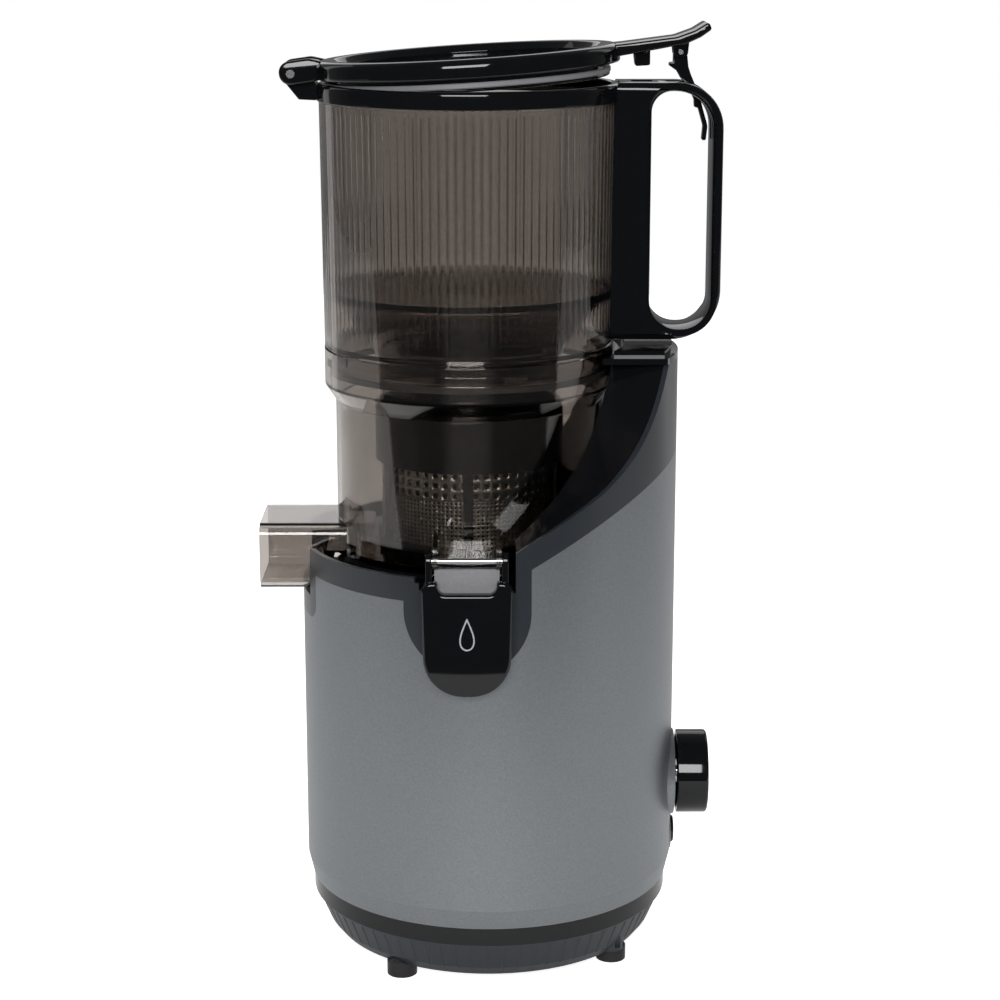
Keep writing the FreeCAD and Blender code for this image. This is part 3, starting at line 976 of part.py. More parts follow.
def make_hopper():
    """Hopper wall, its funnel, top rim, handle, interlock rod and hinge bracket."""
    at = ("bowl_x", 0, 0)
    inner_foot = "hopper_radius - hopper_wall"
    skirt = "collar_radius - bowl_wall - skirt_gap"
    wall = turned("hopper_tube", [
        (f"{skirt} - 2.2", "collar_z - skirt_depth"), (skirt, "collar_z - skirt_depth"),
        (skirt, "hopper_z"), ("hopper_radius", "hopper_z"), ("hopper_top_radius", "rim_z"),
        ("hopper_top_radius - hopper_wall", "rim_z"), (inner_foot, "hopper_z + 3"),
        (f"{skirt} - 2.2", "hopper_z + 0.5")], at)
    lugs = []
    for k in range(3):
        lug = Part.makeBox(20, 2 * val("lug_half_width"), val("lug_height"), V(60, -val("lug_half_width"), 0))
        lug.rotate(V(0, 0, 0), V(0, 0, 1), 120 * k + 60)
        lugs.append(lug)
    lug_ring = turned("lug_ring", [
        (f"{skirt} - 1", "collar_z - skirt_depth"), (f"{skirt} + lug_reach", "collar_z - skirt_depth"),
        (f"{skirt} + lug_reach", "collar_z"), (f"{skirt} - 1", "collar_z")], at)
    lug_set = common("hopper_lugs", lug_ring,
                     shaped("lug_blocks", Part.makeCompound(lugs), ("bowl_x", 0, "collar_z - skirt_depth + 2")))
    node("hopper_wall", fuse("hopper_body", wall, lug_set))
    funnel_top = "hopper_z + funnel_rise"
    node("hopper_funnel", turned("funnel", [
        (f"{inner_foot} - 1", f"{funnel_top}"), (f"{inner_foot} - 0.1", f"{funnel_top} - 1"),
        (f"{inner_foot} - 0.1", f"{funnel_top} + 3"), (f"{inner_foot} - 2", f"{funnel_top} + 3"),
        ("funnel_bore + 4", "hopper_z + 2"), ("funnel_bore", "hopper_z - 8"),
        ("funnel_bore", "hopper_z - funnel_depth"), ("funnel_bore + funnel_wall", "hopper_z - funnel_depth"),
        ("funnel_bore + funnel_wall", "hopper_z - 9"), ("funnel_bore + 6", "hopper_z")], at))
    node("hopper_rim", turned("rim", [
        ("rim_bore", "rim_z"), ("rim_radius", "rim_z"), ("rim_radius", "rim_top - 1"),
        ("rim_radius - 1", "rim_top"), ("rim_bore", "rim_top")], at))

    outline = slab("handle_outline", "XZ_Plane", [
        ("handle_left", "handle_bottom"), ("handle_right", "handle_bottom"),
        ("handle_right", "handle_top"), ("handle_left", "handle_top")], "handle_width")
    right, bottom, top = val("handle_right"), val("handle_bottom"), val("handle_top")
    rounded(outline, (24, near(x=right, z=bottom, run="y")), (22, near(x=right, z=top, run="y")))
    grip = slab("grip_hole", "XZ_Plane", [
        ("column_right", "grip_bottom"), ("handle_right - strap", "grip_bottom"),
        ("handle_right - strap", "grip_top"), ("column_right", "grip_top")], "handle_width + 10")
    left, right = val("column_right"), val("handle_right") - val("strap")
    bottom, top = val("grip_bottom"), val("grip_top")
    rounded(grip, (14.4, near(z=bottom, run="y")), (18.5, near(x=right, z=top, run="y")),
            (10, near(x=left, z=top, run="y")))
    wall_air = cone("handle_wall_air", "hopper_radius + 0.05", "hopper_top_radius + 0.05", "hopper_height",
                    ("bowl_x", 0, "hopper_z"))
    rim_air = cylinder("handle_rim_air", "rim_radius + 0.05", 40, ("bowl_x", 0, "rim_z"))
    nub_hole = box("nub_hole", (69.6, 80), (-6.5, 6.5), ("rod_top - 2", "handle_top + 5"))
    slot = box("latch_slot", ("slot_left", "handle_right + 5"), ("0 - slot_width / 2", "slot_width / 2"),
               ("handle_top - slot_drop", "handle_top + 5"))
    bore = cylinder("rod_bore", "magnet_radius + 0.4", "rod_top - handle_bottom - 1.2",
                    ("rod_x", 0, "handle_bottom + 1.2"))
    chamber = cylinder("rod_chamber", "rod_head_radius + 0.6", "36", ("rod_x", 0, "rod_top - 36"))
    handle = outline
    for k, tool in enumerate([grip, wall_air, rim_air, nub_hole, slot, bore, chamber]):
        handle = cut(f"handle_step_{k}", handle, tool)
    node("hopper_handle", handle)
    rod = fuse("rod_whole", cylinder("rod_bar", "rod_radius", "rod_top - rod_foot", ("rod_x", 0, "rod_foot")),
               cylinder("rod_disc", "rod_head_radius", "rod_head", ("rod_x", 0, "rod_top - rod_head")))
    node("push_rod", rod)
    node("rod_magnet", cylinder("magnet_bar", "magnet_radius", "magnet_height",
                                ("rod_x", 0, "rod_foot - magnet_height")))
    coil = spring_shape(3.6, 4, 36 - val("rod_head") - val("rod_travel") - 1.6, 0.4)
    node("rod_spring", shaped("rod_coil", coil), ("rod_x", 0, "rod_top - 36 + 0.8"))

    lug = cylinder("bracket_eye", "knuckle_radius - 0.6", "2 * bracket_half_width",
                   ("hinge_x", "0 - bracket_half_width", "hinge_z"), "y")
    arm = slab("bracket_arm", "XZ_Plane", [
        ("hinge_x - 3.6", "hinge_z - 3.8"), ("hinge_x + 3.5", "rim_z + 0.5"),
        ("bowl_x - rim_radius + 2.5", "rim_z"), ("bowl_x - rim_radius + 2.5", "rim_top - 0.6"),
        ("hinge_x + 7", "hinge_z - 4"), ("hinge_x + 2", "hinge_z + 4.8")], "2 * bracket_half_width")
    bracket = cut("bracket_cut", fuse("bracket_whole", lug, arm),
                  cylinder("bracket_air", "rim_radius + 0.05", 40, ("bowl_x", 0, "rim_z - 10")),
                  cylinder("bracket_bore", "hinge_pin_radius", 60, ("hinge_x", -30, "hinge_z"), "y"))
    node("hinge_bracket", bracket)
    reach = "bracket_half_width + hinge_gap + arm_width"
    pin = cylinder("hinge_pin_bar", "hinge_pin_radius - 0.05", f"2 * ({reach})",
                   ("hinge_x", f"0 - ({reach})", "hinge_z"), "y")
    node("hinge_pin", pin)


def make_lid():
    """The lid set, drawn shut about the hinge pin and then set ajar."""
    centre = ("lid_centre", 0, 0)
    seat = "0 - lid_drop"
    ring = turned("lid_turned", [
        ("lid_bore - lid_ledge", "window_thickness - lid_ledge - 3"), ("lid_skirt_radius - 3.4", seat),
        ("lid_skirt_radius - lid_skirt_wall", f"{seat} - lid_skirt"),
        ("lid_skirt_radius", f"{seat} - lid_skirt"), ("lid_skirt_radius", seat), ("lid_radius", seat),
        ("lid_radius", "lid_rise - 1.6"), ("lid_radius - 1.6", "lid_rise"), ("lid_bore + 3", "lid_rise"),
        ("lid_bore", "lid_rise - 3.4"), ("lid_bore", "0 - window_thickness + 0.4"),
        ("lid_bore - lid_ledge", "0 - window_thickness + 0.4")], centre)
    arms = []
    for k, y in enumerate(["0 - bracket_half_width - hinge_gap - arm_width", "bracket_half_width + hinge_gap"]):
        arms.append(cylinder(f"lid_knuckle_{k}", "knuckle_radius", "arm_width", (0, y, 0), "y"))
        arm = slab(f"lid_arm_{k}", "XZ_Plane", [
            (1.5, -5.6), (9, "0 - lid_drop - 0.4"), ("lid_centre - lid_radius + 3", seat),
            ("lid_centre - lid_radius + 6", "lid_rise - 0.4"), (9, "lid_rise + 2.2"),
            (-1.5, 5.6)], "arm_width", (0, f"{y} + arm_width / 2", 0))
        arms.append(arm)
    tab = slab("lid_tab", "XZ_Plane", [
        ("lid_centre + lid_bore + 4", "0 - 1.9"), ("latch_pin_x - 11.4", 1.0), ("latch_pin_x + 2.6", 2.8),
        ("latch_pin_x + 9.5", 5.4), ("latch_pin_x + 15", 8.8), ("latch_pin_x + 13.8", 12.5),
        ("latch_pin_x + 7", 8.9), ("latch_pin_x - 1.9", 6.3), ("latch_pin_x - 27", 4.6),
        ("lid_centre + lid_bore + 4", 4.2)], "2 * tab_half_width")
    nub = slab("lid_nub", "XZ_Plane", [
        (166.6, -6.9), (173.8, -6.9), (174.3, 2), (166.0, 2)], 10)
    lugs = []
    lug_at = [f"0 - latch_half_width - {'0.4'} - latch_lug", "latch_half_width + 0.4"]
    for k, y in enumerate(lug_at):
        lugs.append(slab(f"latch_lug_{k}", "XZ_Plane", [
            ("latch_pin_x - 3.6", 3.2), ("latch_pin_x - 3.2", "latch_pin_z - 2.4"),
            ("latch_pin_x + 3.4", "latch_pin_z - 2.4"), ("latch_pin_x + 4.6", 4)],
            "latch_lug", (0, f"{y} + latch_lug / 2", 0)))
    whole = fuse("lid_whole", ring, *arms, tab, nub, *lugs)
    bracket_air = box("bracket_swing", (-8, "lid_centre - lid_radius - 0.1"),
                      ("0 - bracket_half_width - hinge_gap", "bracket_half_width + hinge_gap"), (-12, 12))
    pin_bore = cylinder("lid_pin_bore", "hinge_pin_radius + 0.05", 60, (0, -30, 0), "y")
    latch_bore = cylinder("latch_lug_bore", "latch_pin_radius", 40, ("latch_pin_x", -20, "latch_pin_z"), "y")
    room = box("lever_room", ("latch_pin_x - 5.5", "latch_pin_x + 6.5"),
               ("0 - latch_half_width - 0.4", "latch_half_width + 0.4"), (-8, 1.9))
    lid = cut("lid_cut", whole, bracket_air, pin_bore, latch_bore, room)
    hinge = ("hinge_x", 0, "hinge_z")
    ajar = ((0, -1, 0), val("lid_ajar"))
    pieces = {"lid_ring": lid}
    pieces["lid_window"] = cylinder("window_disc", "lid_bore - 0.1", "window_thickness",
                                    ("lid_centre", 0, "0 - window_thickness + 0.4"))
    pieces["lid_gasket"] = turned("gasket_ring", [
        ("lid_skirt_radius", f"{seat} - lid_skirt + 1.5"),
        ("lid_skirt_radius + 0.5", f"{seat} - lid_skirt + 2"),
        ("lid_skirt_radius + 0.5", f"{seat} - 2.5"), ("lid_skirt_radius", f"{seat} - 2")], centre)
    lever = [(-3.0, 2.7), (3.2, 2.5), (3.7, -7.5), (4.8, -11.5), (6.9, -17.2), (8.8, -22.8), (9.8, -27.9),
             (11.8, -36.5), (10.6, -43.5), (8.6, -43.3), (9.6, -36.4), (7.6, -27.7), (5.8, -27.1),
             (5.8, -23.6), (3.9, -18.5), (-0.3, -12.7), (-2.1, -9.1), (-5.7, -6.3), (-5.3, -4.9), (-3.5, -5.0)]
    corners = [(f"latch_pin_x + {x}" if x >= 0 else f"latch_pin_x - {-x}",
                f"latch_pin_z + {z}" if z >= 0 else f"latch_pin_z - {-z}") for x, z in lever]
    latch = cut("latch_cut", slab("latch_lever", "XZ_Plane", corners, "2 * latch_half_width"),
                cylinder("latch_bore", "latch_pin_radius + 0.1", 40, ("latch_pin_x", -20, "latch_pin_z"), "y"))
    pieces["lid_latch"] = latch
    pin_half = "latch_half_width + 0.4 + latch_lug + latch_pin_end"
    pieces["latch_pin"] = cylinder("latch_pin_bar", "latch_pin_radius", f"2 * ({pin_half})",
                                   ("latch_pin_x", f"0 - ({pin_half})", "latch_pin_z"), "y")
    coil = spring_shape(2.4, 1.0, 1.6, 0.3)
    pieces["latch_spring"] = shaped(
        "latch_coil", coil,
        ("latch_pin_x", "latch_half_width + 0.4 + latch_lug + 0.4", "latch_pin_z"), ALONG["y"])
    for name, thing in pieces.items():
        node(name, group(name + "_seated", [thing]), hinge, ajar)


def check_and_write():
    """Refuse a broken model, then write one file for each piece."""
    doc.recompute()
    bad = [item.Name for item in doc.Objects if {"Invalid", "Error"} & set(item.State)]
    for name, thing in NODES.items():
        shape = thing.Shape
        if shape.isNull() or not shape.isValid() or not shape.Solids:
            bad.append(name)
    if bad:
        raise SystemExit("broken: " + ", ".join(bad))
    os.makedirs("parts", exist_ok=True)
    for name, thing in NODES.items():
        thing.Shape.exportStep(os.path.join("parts", name + ".step"))
        print(name, len(thing.Shape.Solids), round(thing.Shape.Volume / 1000, 2))


make_body()
make_pan()
make_drive()
make_controls()
make_bowl()
make_strainer()
make_auger()
make_cap()
make_hopper()
make_lid()
check_and_write()
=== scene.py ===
import math

import bmesh
import bpy
from mathutils import Matrix, Vector


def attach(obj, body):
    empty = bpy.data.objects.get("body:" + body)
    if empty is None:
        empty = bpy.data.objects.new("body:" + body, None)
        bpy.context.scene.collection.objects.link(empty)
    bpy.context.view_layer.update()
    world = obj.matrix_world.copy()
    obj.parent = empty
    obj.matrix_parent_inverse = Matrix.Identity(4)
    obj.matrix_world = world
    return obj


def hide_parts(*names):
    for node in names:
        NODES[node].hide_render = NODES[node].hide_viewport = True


bl_info = {
    "name": "Cold press juicer",
    "version": (1, 0, 0),
    "blender": (4, 5, 0),
    "location": "3D View > Sidebar > Juicer",
    "description": "Dresses the packed juicer: clear hopper and bowl, painted body, lid, handle and controls",
    "category": "Object",
}

MM = 0.001
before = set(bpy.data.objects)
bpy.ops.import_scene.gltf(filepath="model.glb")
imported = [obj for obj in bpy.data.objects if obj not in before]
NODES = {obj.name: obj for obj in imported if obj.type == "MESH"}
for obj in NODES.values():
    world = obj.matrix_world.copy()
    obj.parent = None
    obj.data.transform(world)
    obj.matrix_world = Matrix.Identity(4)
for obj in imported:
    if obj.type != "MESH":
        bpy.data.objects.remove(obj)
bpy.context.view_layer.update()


# Colours

def linear(code):
    """Turn an sRGB hex colour into the linear red, green and blue that Blender's sockets take."""
    channels = [int(code[k:k + 2], 16) / 255 for k in (1, 3, 5)]
    return tuple(c / 12.92 if c <= 0.04045 else ((c + 0.055) / 1.055) ** 2.4 for c in channels)


def colour_property(label, text, code):
    return bpy.props.FloatVectorProperty(
        name=label, description=text, subtype="COLOR", size=3, min=0, max=1, default=linear(code))


def length_property(label, text, millimetres):
    return bpy.props.FloatProperty(
        name=label, description=text, subtype="DISTANCE", unit="LENGTH", min=0, default=millimetres * MM)


class JuicerColours(bpy.types.PropertyGroup):
    shell: colour_property("Body paint", "Metallic grey of the painted body", "#85898c")
    trim: colour_property("Trim", "Satin blue-black band above the paint", "#22262b")
    black: colour_property("Gloss black", "Polished black mouldings", "#0b0c0e")
    pan: colour_property("Foot", "Ribbed moulding at the foot", "#25292e")
    smoke: colour_property("Smoke tint", "Tint of the hopper, lid window and bowl", "#a19b96")
    icon: colour_property("Icon", "Printed drop on the spout flap", "#9ea4a8")
    floor: colour_property("Floor", "Floor and background", "#f4f4f4")


class JuicerSizes(bpy.types.PropertyGroup):
    rib_pitch: length_property("Hopper rib pitch", "Distance between the upright ribs inside the hopper", 4)
    rib_depth: length_property("Hopper rib depth", "How far each rib stands in from the wall", 0.6)
    sieve_pitch: length_property("Sieve pitch", "Distance between the fine holes of the strainer", 2.2)
    edge_round: length_property("Edge rounding", "Radius on the outer edges of the handle", 3)
    icon_line: length_property("Icon line", "Thickness of the drop's printed line", 0.8)


# Mesh making. Outlines are in millimetres and meshes are in metres.

def outline(corners, steps=6):
    """A closed outline from corners (x, y) or (x, y, radius); a radius rounds its corner."""
    points = []
    count = len(corners)
    for k, corner in enumerate(corners):
        here = Vector(corner[:2])
        radius = corner[2] if len(corner) > 2 else 0
        if not radius:
            points.append(here)
            continue
        back = (Vector(corners[k - 1][:2]) - here).normalized()
        ahead = (Vector(corners[(k + 1) % count][:2]) - here).normalized()
        half = back.angle(ahead) / 2
        run = radius / math.tan(half)
        middle = here + (back + ahead).normalized() * (radius / math.sin(half))
        first = here + back * run - middle
        last = here + ahead * run - middle
        sweep = first.angle_signed(last)
        for n in range(steps + 1):
            turned_arm = first.copy()
            turned_arm.rotate(Matrix.Rotation(-sweep * n / steps, 2))
            points.append(middle + turned_arm)
    return points


def mesh_from(name, vertices, faces):
    mesh = bpy.data.meshes.new(name)
    mesh.from_pydata([Vector(v) * MM for v in vertices], [], faces)
    work = bmesh.new()
    work.from_mesh(mesh)
    bmesh.ops.remove_doubles(work, verts=work.verts, dist=0.002 * MM)
    bmesh.ops.recalc_face_normals(work, faces=work.faces)
    work.to_mesh(mesh)
    work.free()
    return mesh


def turned(name, corners, steps=180, along="z", at=(0, 0, 0), steps_round=5):
    """Revolve a closed outline of (radius, height) about an axis through a point."""
    ring = outline(corners, steps_round)
    vertices, faces = [], []
    count = len(ring)
    for k in range(steps):
        angle = 2 * math.pi * k / steps
        for point in ring:
            a, b, c = point.x * math.cos(angle), point.x * math.sin(angle), point.y
            spot = {"z": (a, b, c), "x": (c, a, b), "y": (b, c, a)}[along]
            vertices.append([spot[n] + at[n] for n in range(3)])
        for n in range(count):
            here, after = k * count, ((k + 1) % steps) * count
            m = (n + 1) % count
            if ring[n].x or ring[m].x:
                faces.append((here + n, after + n, after + m, here + m))
    return mesh_from(name, vertices, faces)


def moulded(name, loops, y0, y1, edge=0.6, at=(0, 0, 0)):
    """A plate from outlines in X and Z, between two depths, with its long edges rounded."""
    curve = bpy.data.curves.new(name, "CURVE")
    curve.dimensions = "2D"
    curve.fill_mode = "BOTH"
    curve.extrude = ((y1 - y0) / 2 - edge) * MM
    curve.bevel_depth = edge * MM
    curve.bevel_resolution = 2
    curve.offset = -edge * MM
    for loop in loops:
        spline = curve.splines.new("POLY")
        spline.points.add(len(loop) - 1)
        for point, spot in zip(spline.points, loop):
            point.co = (spot.x * MM, spot.y * MM, 0, 1)
        spline.use_cyclic_u = True
    holder = bpy.data.objects.new(name, curve)
    mesh = bpy.data.meshes.new_from_object(holder)
    bpy.data.objects.remove(holder)
    bpy.data.curves.remove(curve)
    stand = Matrix.Translation(Vector((at[0], (y0 + y1) / 2 + at[1], at[2])) * MM)
    mesh.transform(stand @ Matrix.Rotation(math.radians(90), 4, "X"))
    weld(mesh)
    return mesh


def weld(mesh):
    work = bmesh.new()
    work.from_mesh(mesh)
    bmesh.ops.remove_doubles(work, verts=work.verts, dist=0.01 * MM)
    bmesh.ops.dissolve_degenerate(work, edges=work.edges, dist=0.005 * MM)
    bmesh.ops.recalc_face_normals(work, faces=work.faces)
    work.to_mesh(mesh)
    work.free()


def block(name, low, high):
    """A box between two corners, for cutting with."""
    corners = [(x, y, z) for x in (low[0], high[0]) for y in (low[1], high[1]) for z in (low[2], high[2])]
    faces = [(0, 1, 3, 2), (4, 6, 7, 5), (0, 4, 5, 1), (2, 3, 7, 6), (0, 2, 6, 4), (1, 5, 7, 3)]
    return mesh_from(name, corners, faces)


def carved(mesh, cutters):
    """The mesh less its cutters."""
    base = bpy.data.objects.new(mesh.name + "_work", mesh)
    bpy.context.scene.collection.objects.link(base)
    helpers = []
    for cutter in cutters:
        tool = bpy.data.objects.new(cutter.name, cutter)
        bpy.context.scene.collection.objects.link(tool)
        helpers.append(tool)
        step = base.modifiers.new("Cut", "BOOLEAN")
        step.operation = "DIFFERENCE"
        step.solver = "MANIFOLD"
        step.object = tool
    bpy.context.view_layer.update()
    result = bpy.data.meshes.new_from_object(base.evaluated_get(bpy.context.evaluated_depsgraph_get()))
    for thing in [base] + helpers:
        bpy.data.objects.remove(thing)
    weld(result)
    return result


def joined(name, meshes):
    work = bmesh.new()
    for mesh in meshes:
        work.from_mesh(mesh)
    result = bpy.data.meshes.new(name)
    work.to_mesh(result)
    work.free()
    return result


def shaded(mesh, angle=32):
    mesh.shade_smooth()
    mesh.set_sharp_from_angle(angle=math.radians(angle))


def show(name, mesh, body, finish, stands_for=()):
    """Put a mesh in the scene on its body, with its material."""
    mesh.materials.clear()
    mesh.materials.append(finish)
    shaded(mesh)
    thing = bpy.data.objects.new(name, mesh)
    bpy.context.scene.collection.objects.link(thing)
    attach(thing, body)
    if stands_for:
        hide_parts(*stands_for)
    return thing


def dress(finish, *names):
    """Give CAD nodes a material; their meshes stay as they are."""
    for name in names:
        mesh = NODES[name].data
        mesh.materials.clear()
        mesh.materials.append(finish)
        for face in mesh.polygons:
            face.material_index = 0


# Materials

def add(tree, kind, inputs=None, **settings):
    """Add a shader node, set its settings, and set or link its inputs."""
    node = tree.nodes.new("ShaderNode" + kind)
    for key, value in settings.items():
        setattr(node, key, value)
    for key, value in (inputs or {}).items():
        if isinstance(value, bpy.types.NodeSocket):
            tree.links.new(value, node.inputs[key])
        else:
            node.inputs[key].default_value = value
    return node


def blank_material(name):
    material = bpy.data.materials.new(name)
    material.use_nodes = True
    material.node_tree.nodes.clear()
    return material, material.node_tree


def finish_material(tree, surface):
    add(tree, "OutputMaterial", {"Surface": surface})


def speckled(tree, colour, size_mm, amount, stretch=(1, 1, 1)):
    """A colour that varies a little, with spots of a size in millimetres, and the noise behind it."""
    place = add(tree, "TexCoord")
    scale = add(tree, "Mapping", {"Vector": place.outputs["Object"], "Scale": stretch})
    noise = add(tree, "TexNoise", {"Vector": scale.outputs[0], "Scale": 1 / (size_mm * MM), "Detail": 3.0})
    dark = [c * (1 - amount) for c in colour] + [1]
    light = [min(1, c * (1 + amount)) for c in colour] + [1]
    ramp = add(tree, "ValToRGB", {"Fac": noise.outputs["Fac"]})
    ramp.color_ramp.elements[0].position = 0.3
    ramp.color_ramp.elements[1].position = 0.7
    ramp.color_ramp.elements[0].color = dark
    ramp.color_ramp.elements[1].color = light
    return ramp.outputs["Color"], noise.outputs["Fac"]


def moulded_plastic(name, colour, roughness, grain_mm, bump, coat=0.0, spread=0.06, soft=0.0, gloss=0.5):
    """An opaque moulded plastic or rubber with a grain of a real size."""
    material, tree = blank_material(name)
    shade, noise = speckled(tree, colour, grain_mm, spread)
    rough = add(tree, "MapRange", {"Value": noise, "To Min": roughness * 0.88, "To Max": roughness * 1.12})
    relief = add(tree, "Bump", {"Height": noise, "Strength": bump, "Distance": 0.1 * MM})
    surface = add(tree, "BsdfPrincipled", {
        "Base Color": shade, "Roughness": rough.outputs[0], "IOR": 1.5, "Specular IOR Level": gloss,
        "Coat Weight": coat, "Coat Roughness": 0.04, "Sheen Weight": soft, "Normal": relief.outputs[0]})
    finish_material(tree, surface.outputs[0])
    return material


def metal(name, colour, roughness, grain_mm, stretch, bump):
    """A bare metal with scratches or grain drawn out along one axis."""
    material, tree = blank_material(name)
    shade, noise = speckled(tree, colour, grain_mm, 0.08, stretch)
    rough = add(tree, "MapRange", {"Value": noise, "To Min": roughness * 0.75, "To Max": roughness * 1.3})
    relief = add(tree, "Bump", {"Height": noise, "Strength": bump, "Distance": 0.05 * MM})
    surface = add(tree, "BsdfPrincipled", {
        "Base Color": shade, "Metallic": 1.0, "Roughness": rough.outputs[0], "Normal": relief.outputs[0]})
    finish_material(tree, surface.outputs[0])
    return material


def clear_plastic(name, colour, roughness=0.03, wave_mm=25):
    """A clear moulded plastic with a tint and the slow waves of a moulded wall."""
    material, tree = blank_material(name)
    shade, noise = speckled(tree, colour, wave_mm, 0.02)
    relief = add(tree, "Bump", {"Height": noise, "Strength": 0.04, "Distance": 0.3 * MM})
    surface = add(tree, "BsdfPrincipled", {
        "Base Color": shade, "Roughness": roughness, "IOR": 1.55, "Transmission Weight": 1.0,
        "Normal": relief.outputs[0]})
    finish_material(tree, surface.outputs[0])
    return material


def metallic_paint(name, colour):
    """Grey metallic lacquer sprayed on a moulded body: tiny flakes under a satin clear coat."""
    material, tree = blank_material(name)
    # Flakes are 0.05 mm across; they are drawn at 0.9 mm so that they show.
    shade, noise = speckled(tree, colour, 0.9, 0.10)
    relief = add(tree, "Bump", {"Height": noise, "Strength": 0.05, "Distance": 0.05 * MM})
    surface = add(tree, "BsdfPrincipled", {
        "Base Color": shade, "Metallic": 0.85, "Roughness": 0.40, "Coat Weight": 0.10,
        "Coat Roughness": 0.3, "Normal": relief.outputs[0]})
    finish_material(tree, surface.outputs[0])
    return material


def make_finishes():
    """Every material of the juicer, by its short name."""
    tint = bpy.context.scene.juicer_colours
    return {
        "paint": metallic_paint("Metallic lacquer, sprayed satin", tint.shell),
        # ABS with a spark-eroded mould: even satin that spreads each highlight.
        "trim": moulded_plastic("ABS, satin moulded", tint.trim, 0.30, 1.2, 0.05),
        # ABS from a polished mould: deep black with sharp reflections.
        "gloss": moulded_plastic("ABS, polished moulding", tint.black, 0.06, 9.0, 0.02, gloss=0.42),
        # ABS with fine mould texture: a duller dark grey at the foot.
        "pan": moulded_plastic("ABS, textured moulding", tint.pan, 0.36, 1.0, 0.12),
        # Copolyester: clear with a smoke dye, glossy on both faces.
        "smoke": clear_plastic("Copolyester, smoke-dyed moulding", tint.smoke),
        # PEI and PP mouldings, dark and slightly waxy; the gearbox and the fan share them.
        "food": moulded_plastic("PEI, food-grade moulding", linear("#1b1918"), 0.22, 1.6, 0.05),
        # Nylon: milky white, undyed and opaque here.
        "nylon": moulded_plastic("Nylon, natural moulding", linear("#d8d4c6"), 0.42, 1.0, 0.08),
        # Rubber feet and mounts: matt, with a dry bloom.
        "rubber": moulded_plastic("Nitrile rubber, moulded", linear("#151515"), 0.75, 0.9, 0.25, soft=0.15),
        # Silicone: grey, soft sheen.
        "silicone": moulded_plastic("Silicone, moulded", linear("#77777a"), 0.5, 1.4, 0.06, soft=0.2),
        # Stainless steel sheet, rolled and etched: fine upright grain.
        "sieve": metal("Stainless steel, etched sheet", linear("#b9b4ac"), 0.30, 1.2, (1, 1, 0.2), 0.05),
        # Steel, turned and polished: bright with faint rings.
        "bright": metal("Steel, turned and polished", linear("#c9cacc"), 0.16, 0.8, (1, 1, 4), 0.03),
        # Zinc-plated pressed steel of the motor can.
        "zinc": metal("Steel, pressed and zinc plated", linear("#a9aaab"), 0.38, 4.0, (1, 1, 1), 0.05),
        # Electrical steel, stamped and stacked: thin dark layers.
        "stack": metal("Electrical steel, stamped stack", linear("#5a5854"), 0.5, 1.0, (0.1, 0.1, 3), 0.3),
        "brass": metal("Brass, turned", linear("#b5935a"), 0.25, 1.0, (1, 1, 3), 0.05),
        # Glass-fibre board under green solder resist.
        "board": moulded_plastic("Glass-fibre board, coated", linear("#1e5a34"), 0.35, 1.5, 0.1, coat=0.3),
        # Screen-printed ink: flat and matt.
        "ink": moulded_plastic("Ink, screen printed", tint.icon, 0.5, 1.0, 0.02),
    }


FINISHES = {}


# Places of the CAD part, in millimetres, written here to match it
BOWL_X = -9.8
HINGE = (-95.4, 0, 444)
LID_AJAR = 3.5
LID_CENTRE = 85.6
LATCH_X = 188.7
LATCH_Z = -1.3
KNOB_Z = 85
BUTTON_Z = 53
CAP_PIN = (-97.4, 223.75)

# The camera fitted to the photograph: metres, degrees below level, and focal length
CAMERA_SPOT = (0.0057, -1.2, 0.518)
CAMERA_DOWN = 13.5
CAMERA_LENS = 87.55


def about_hinge(mesh):
    """Swing a lid piece, drawn shut about the hinge pin, to where the lid stands."""
    swing = Matrix.Rotation(math.radians(-LID_AJAR), 4, "Y")
    mesh.transform(Matrix.Translation(Vector(HINGE) * MM) @ swing)
    return mesh


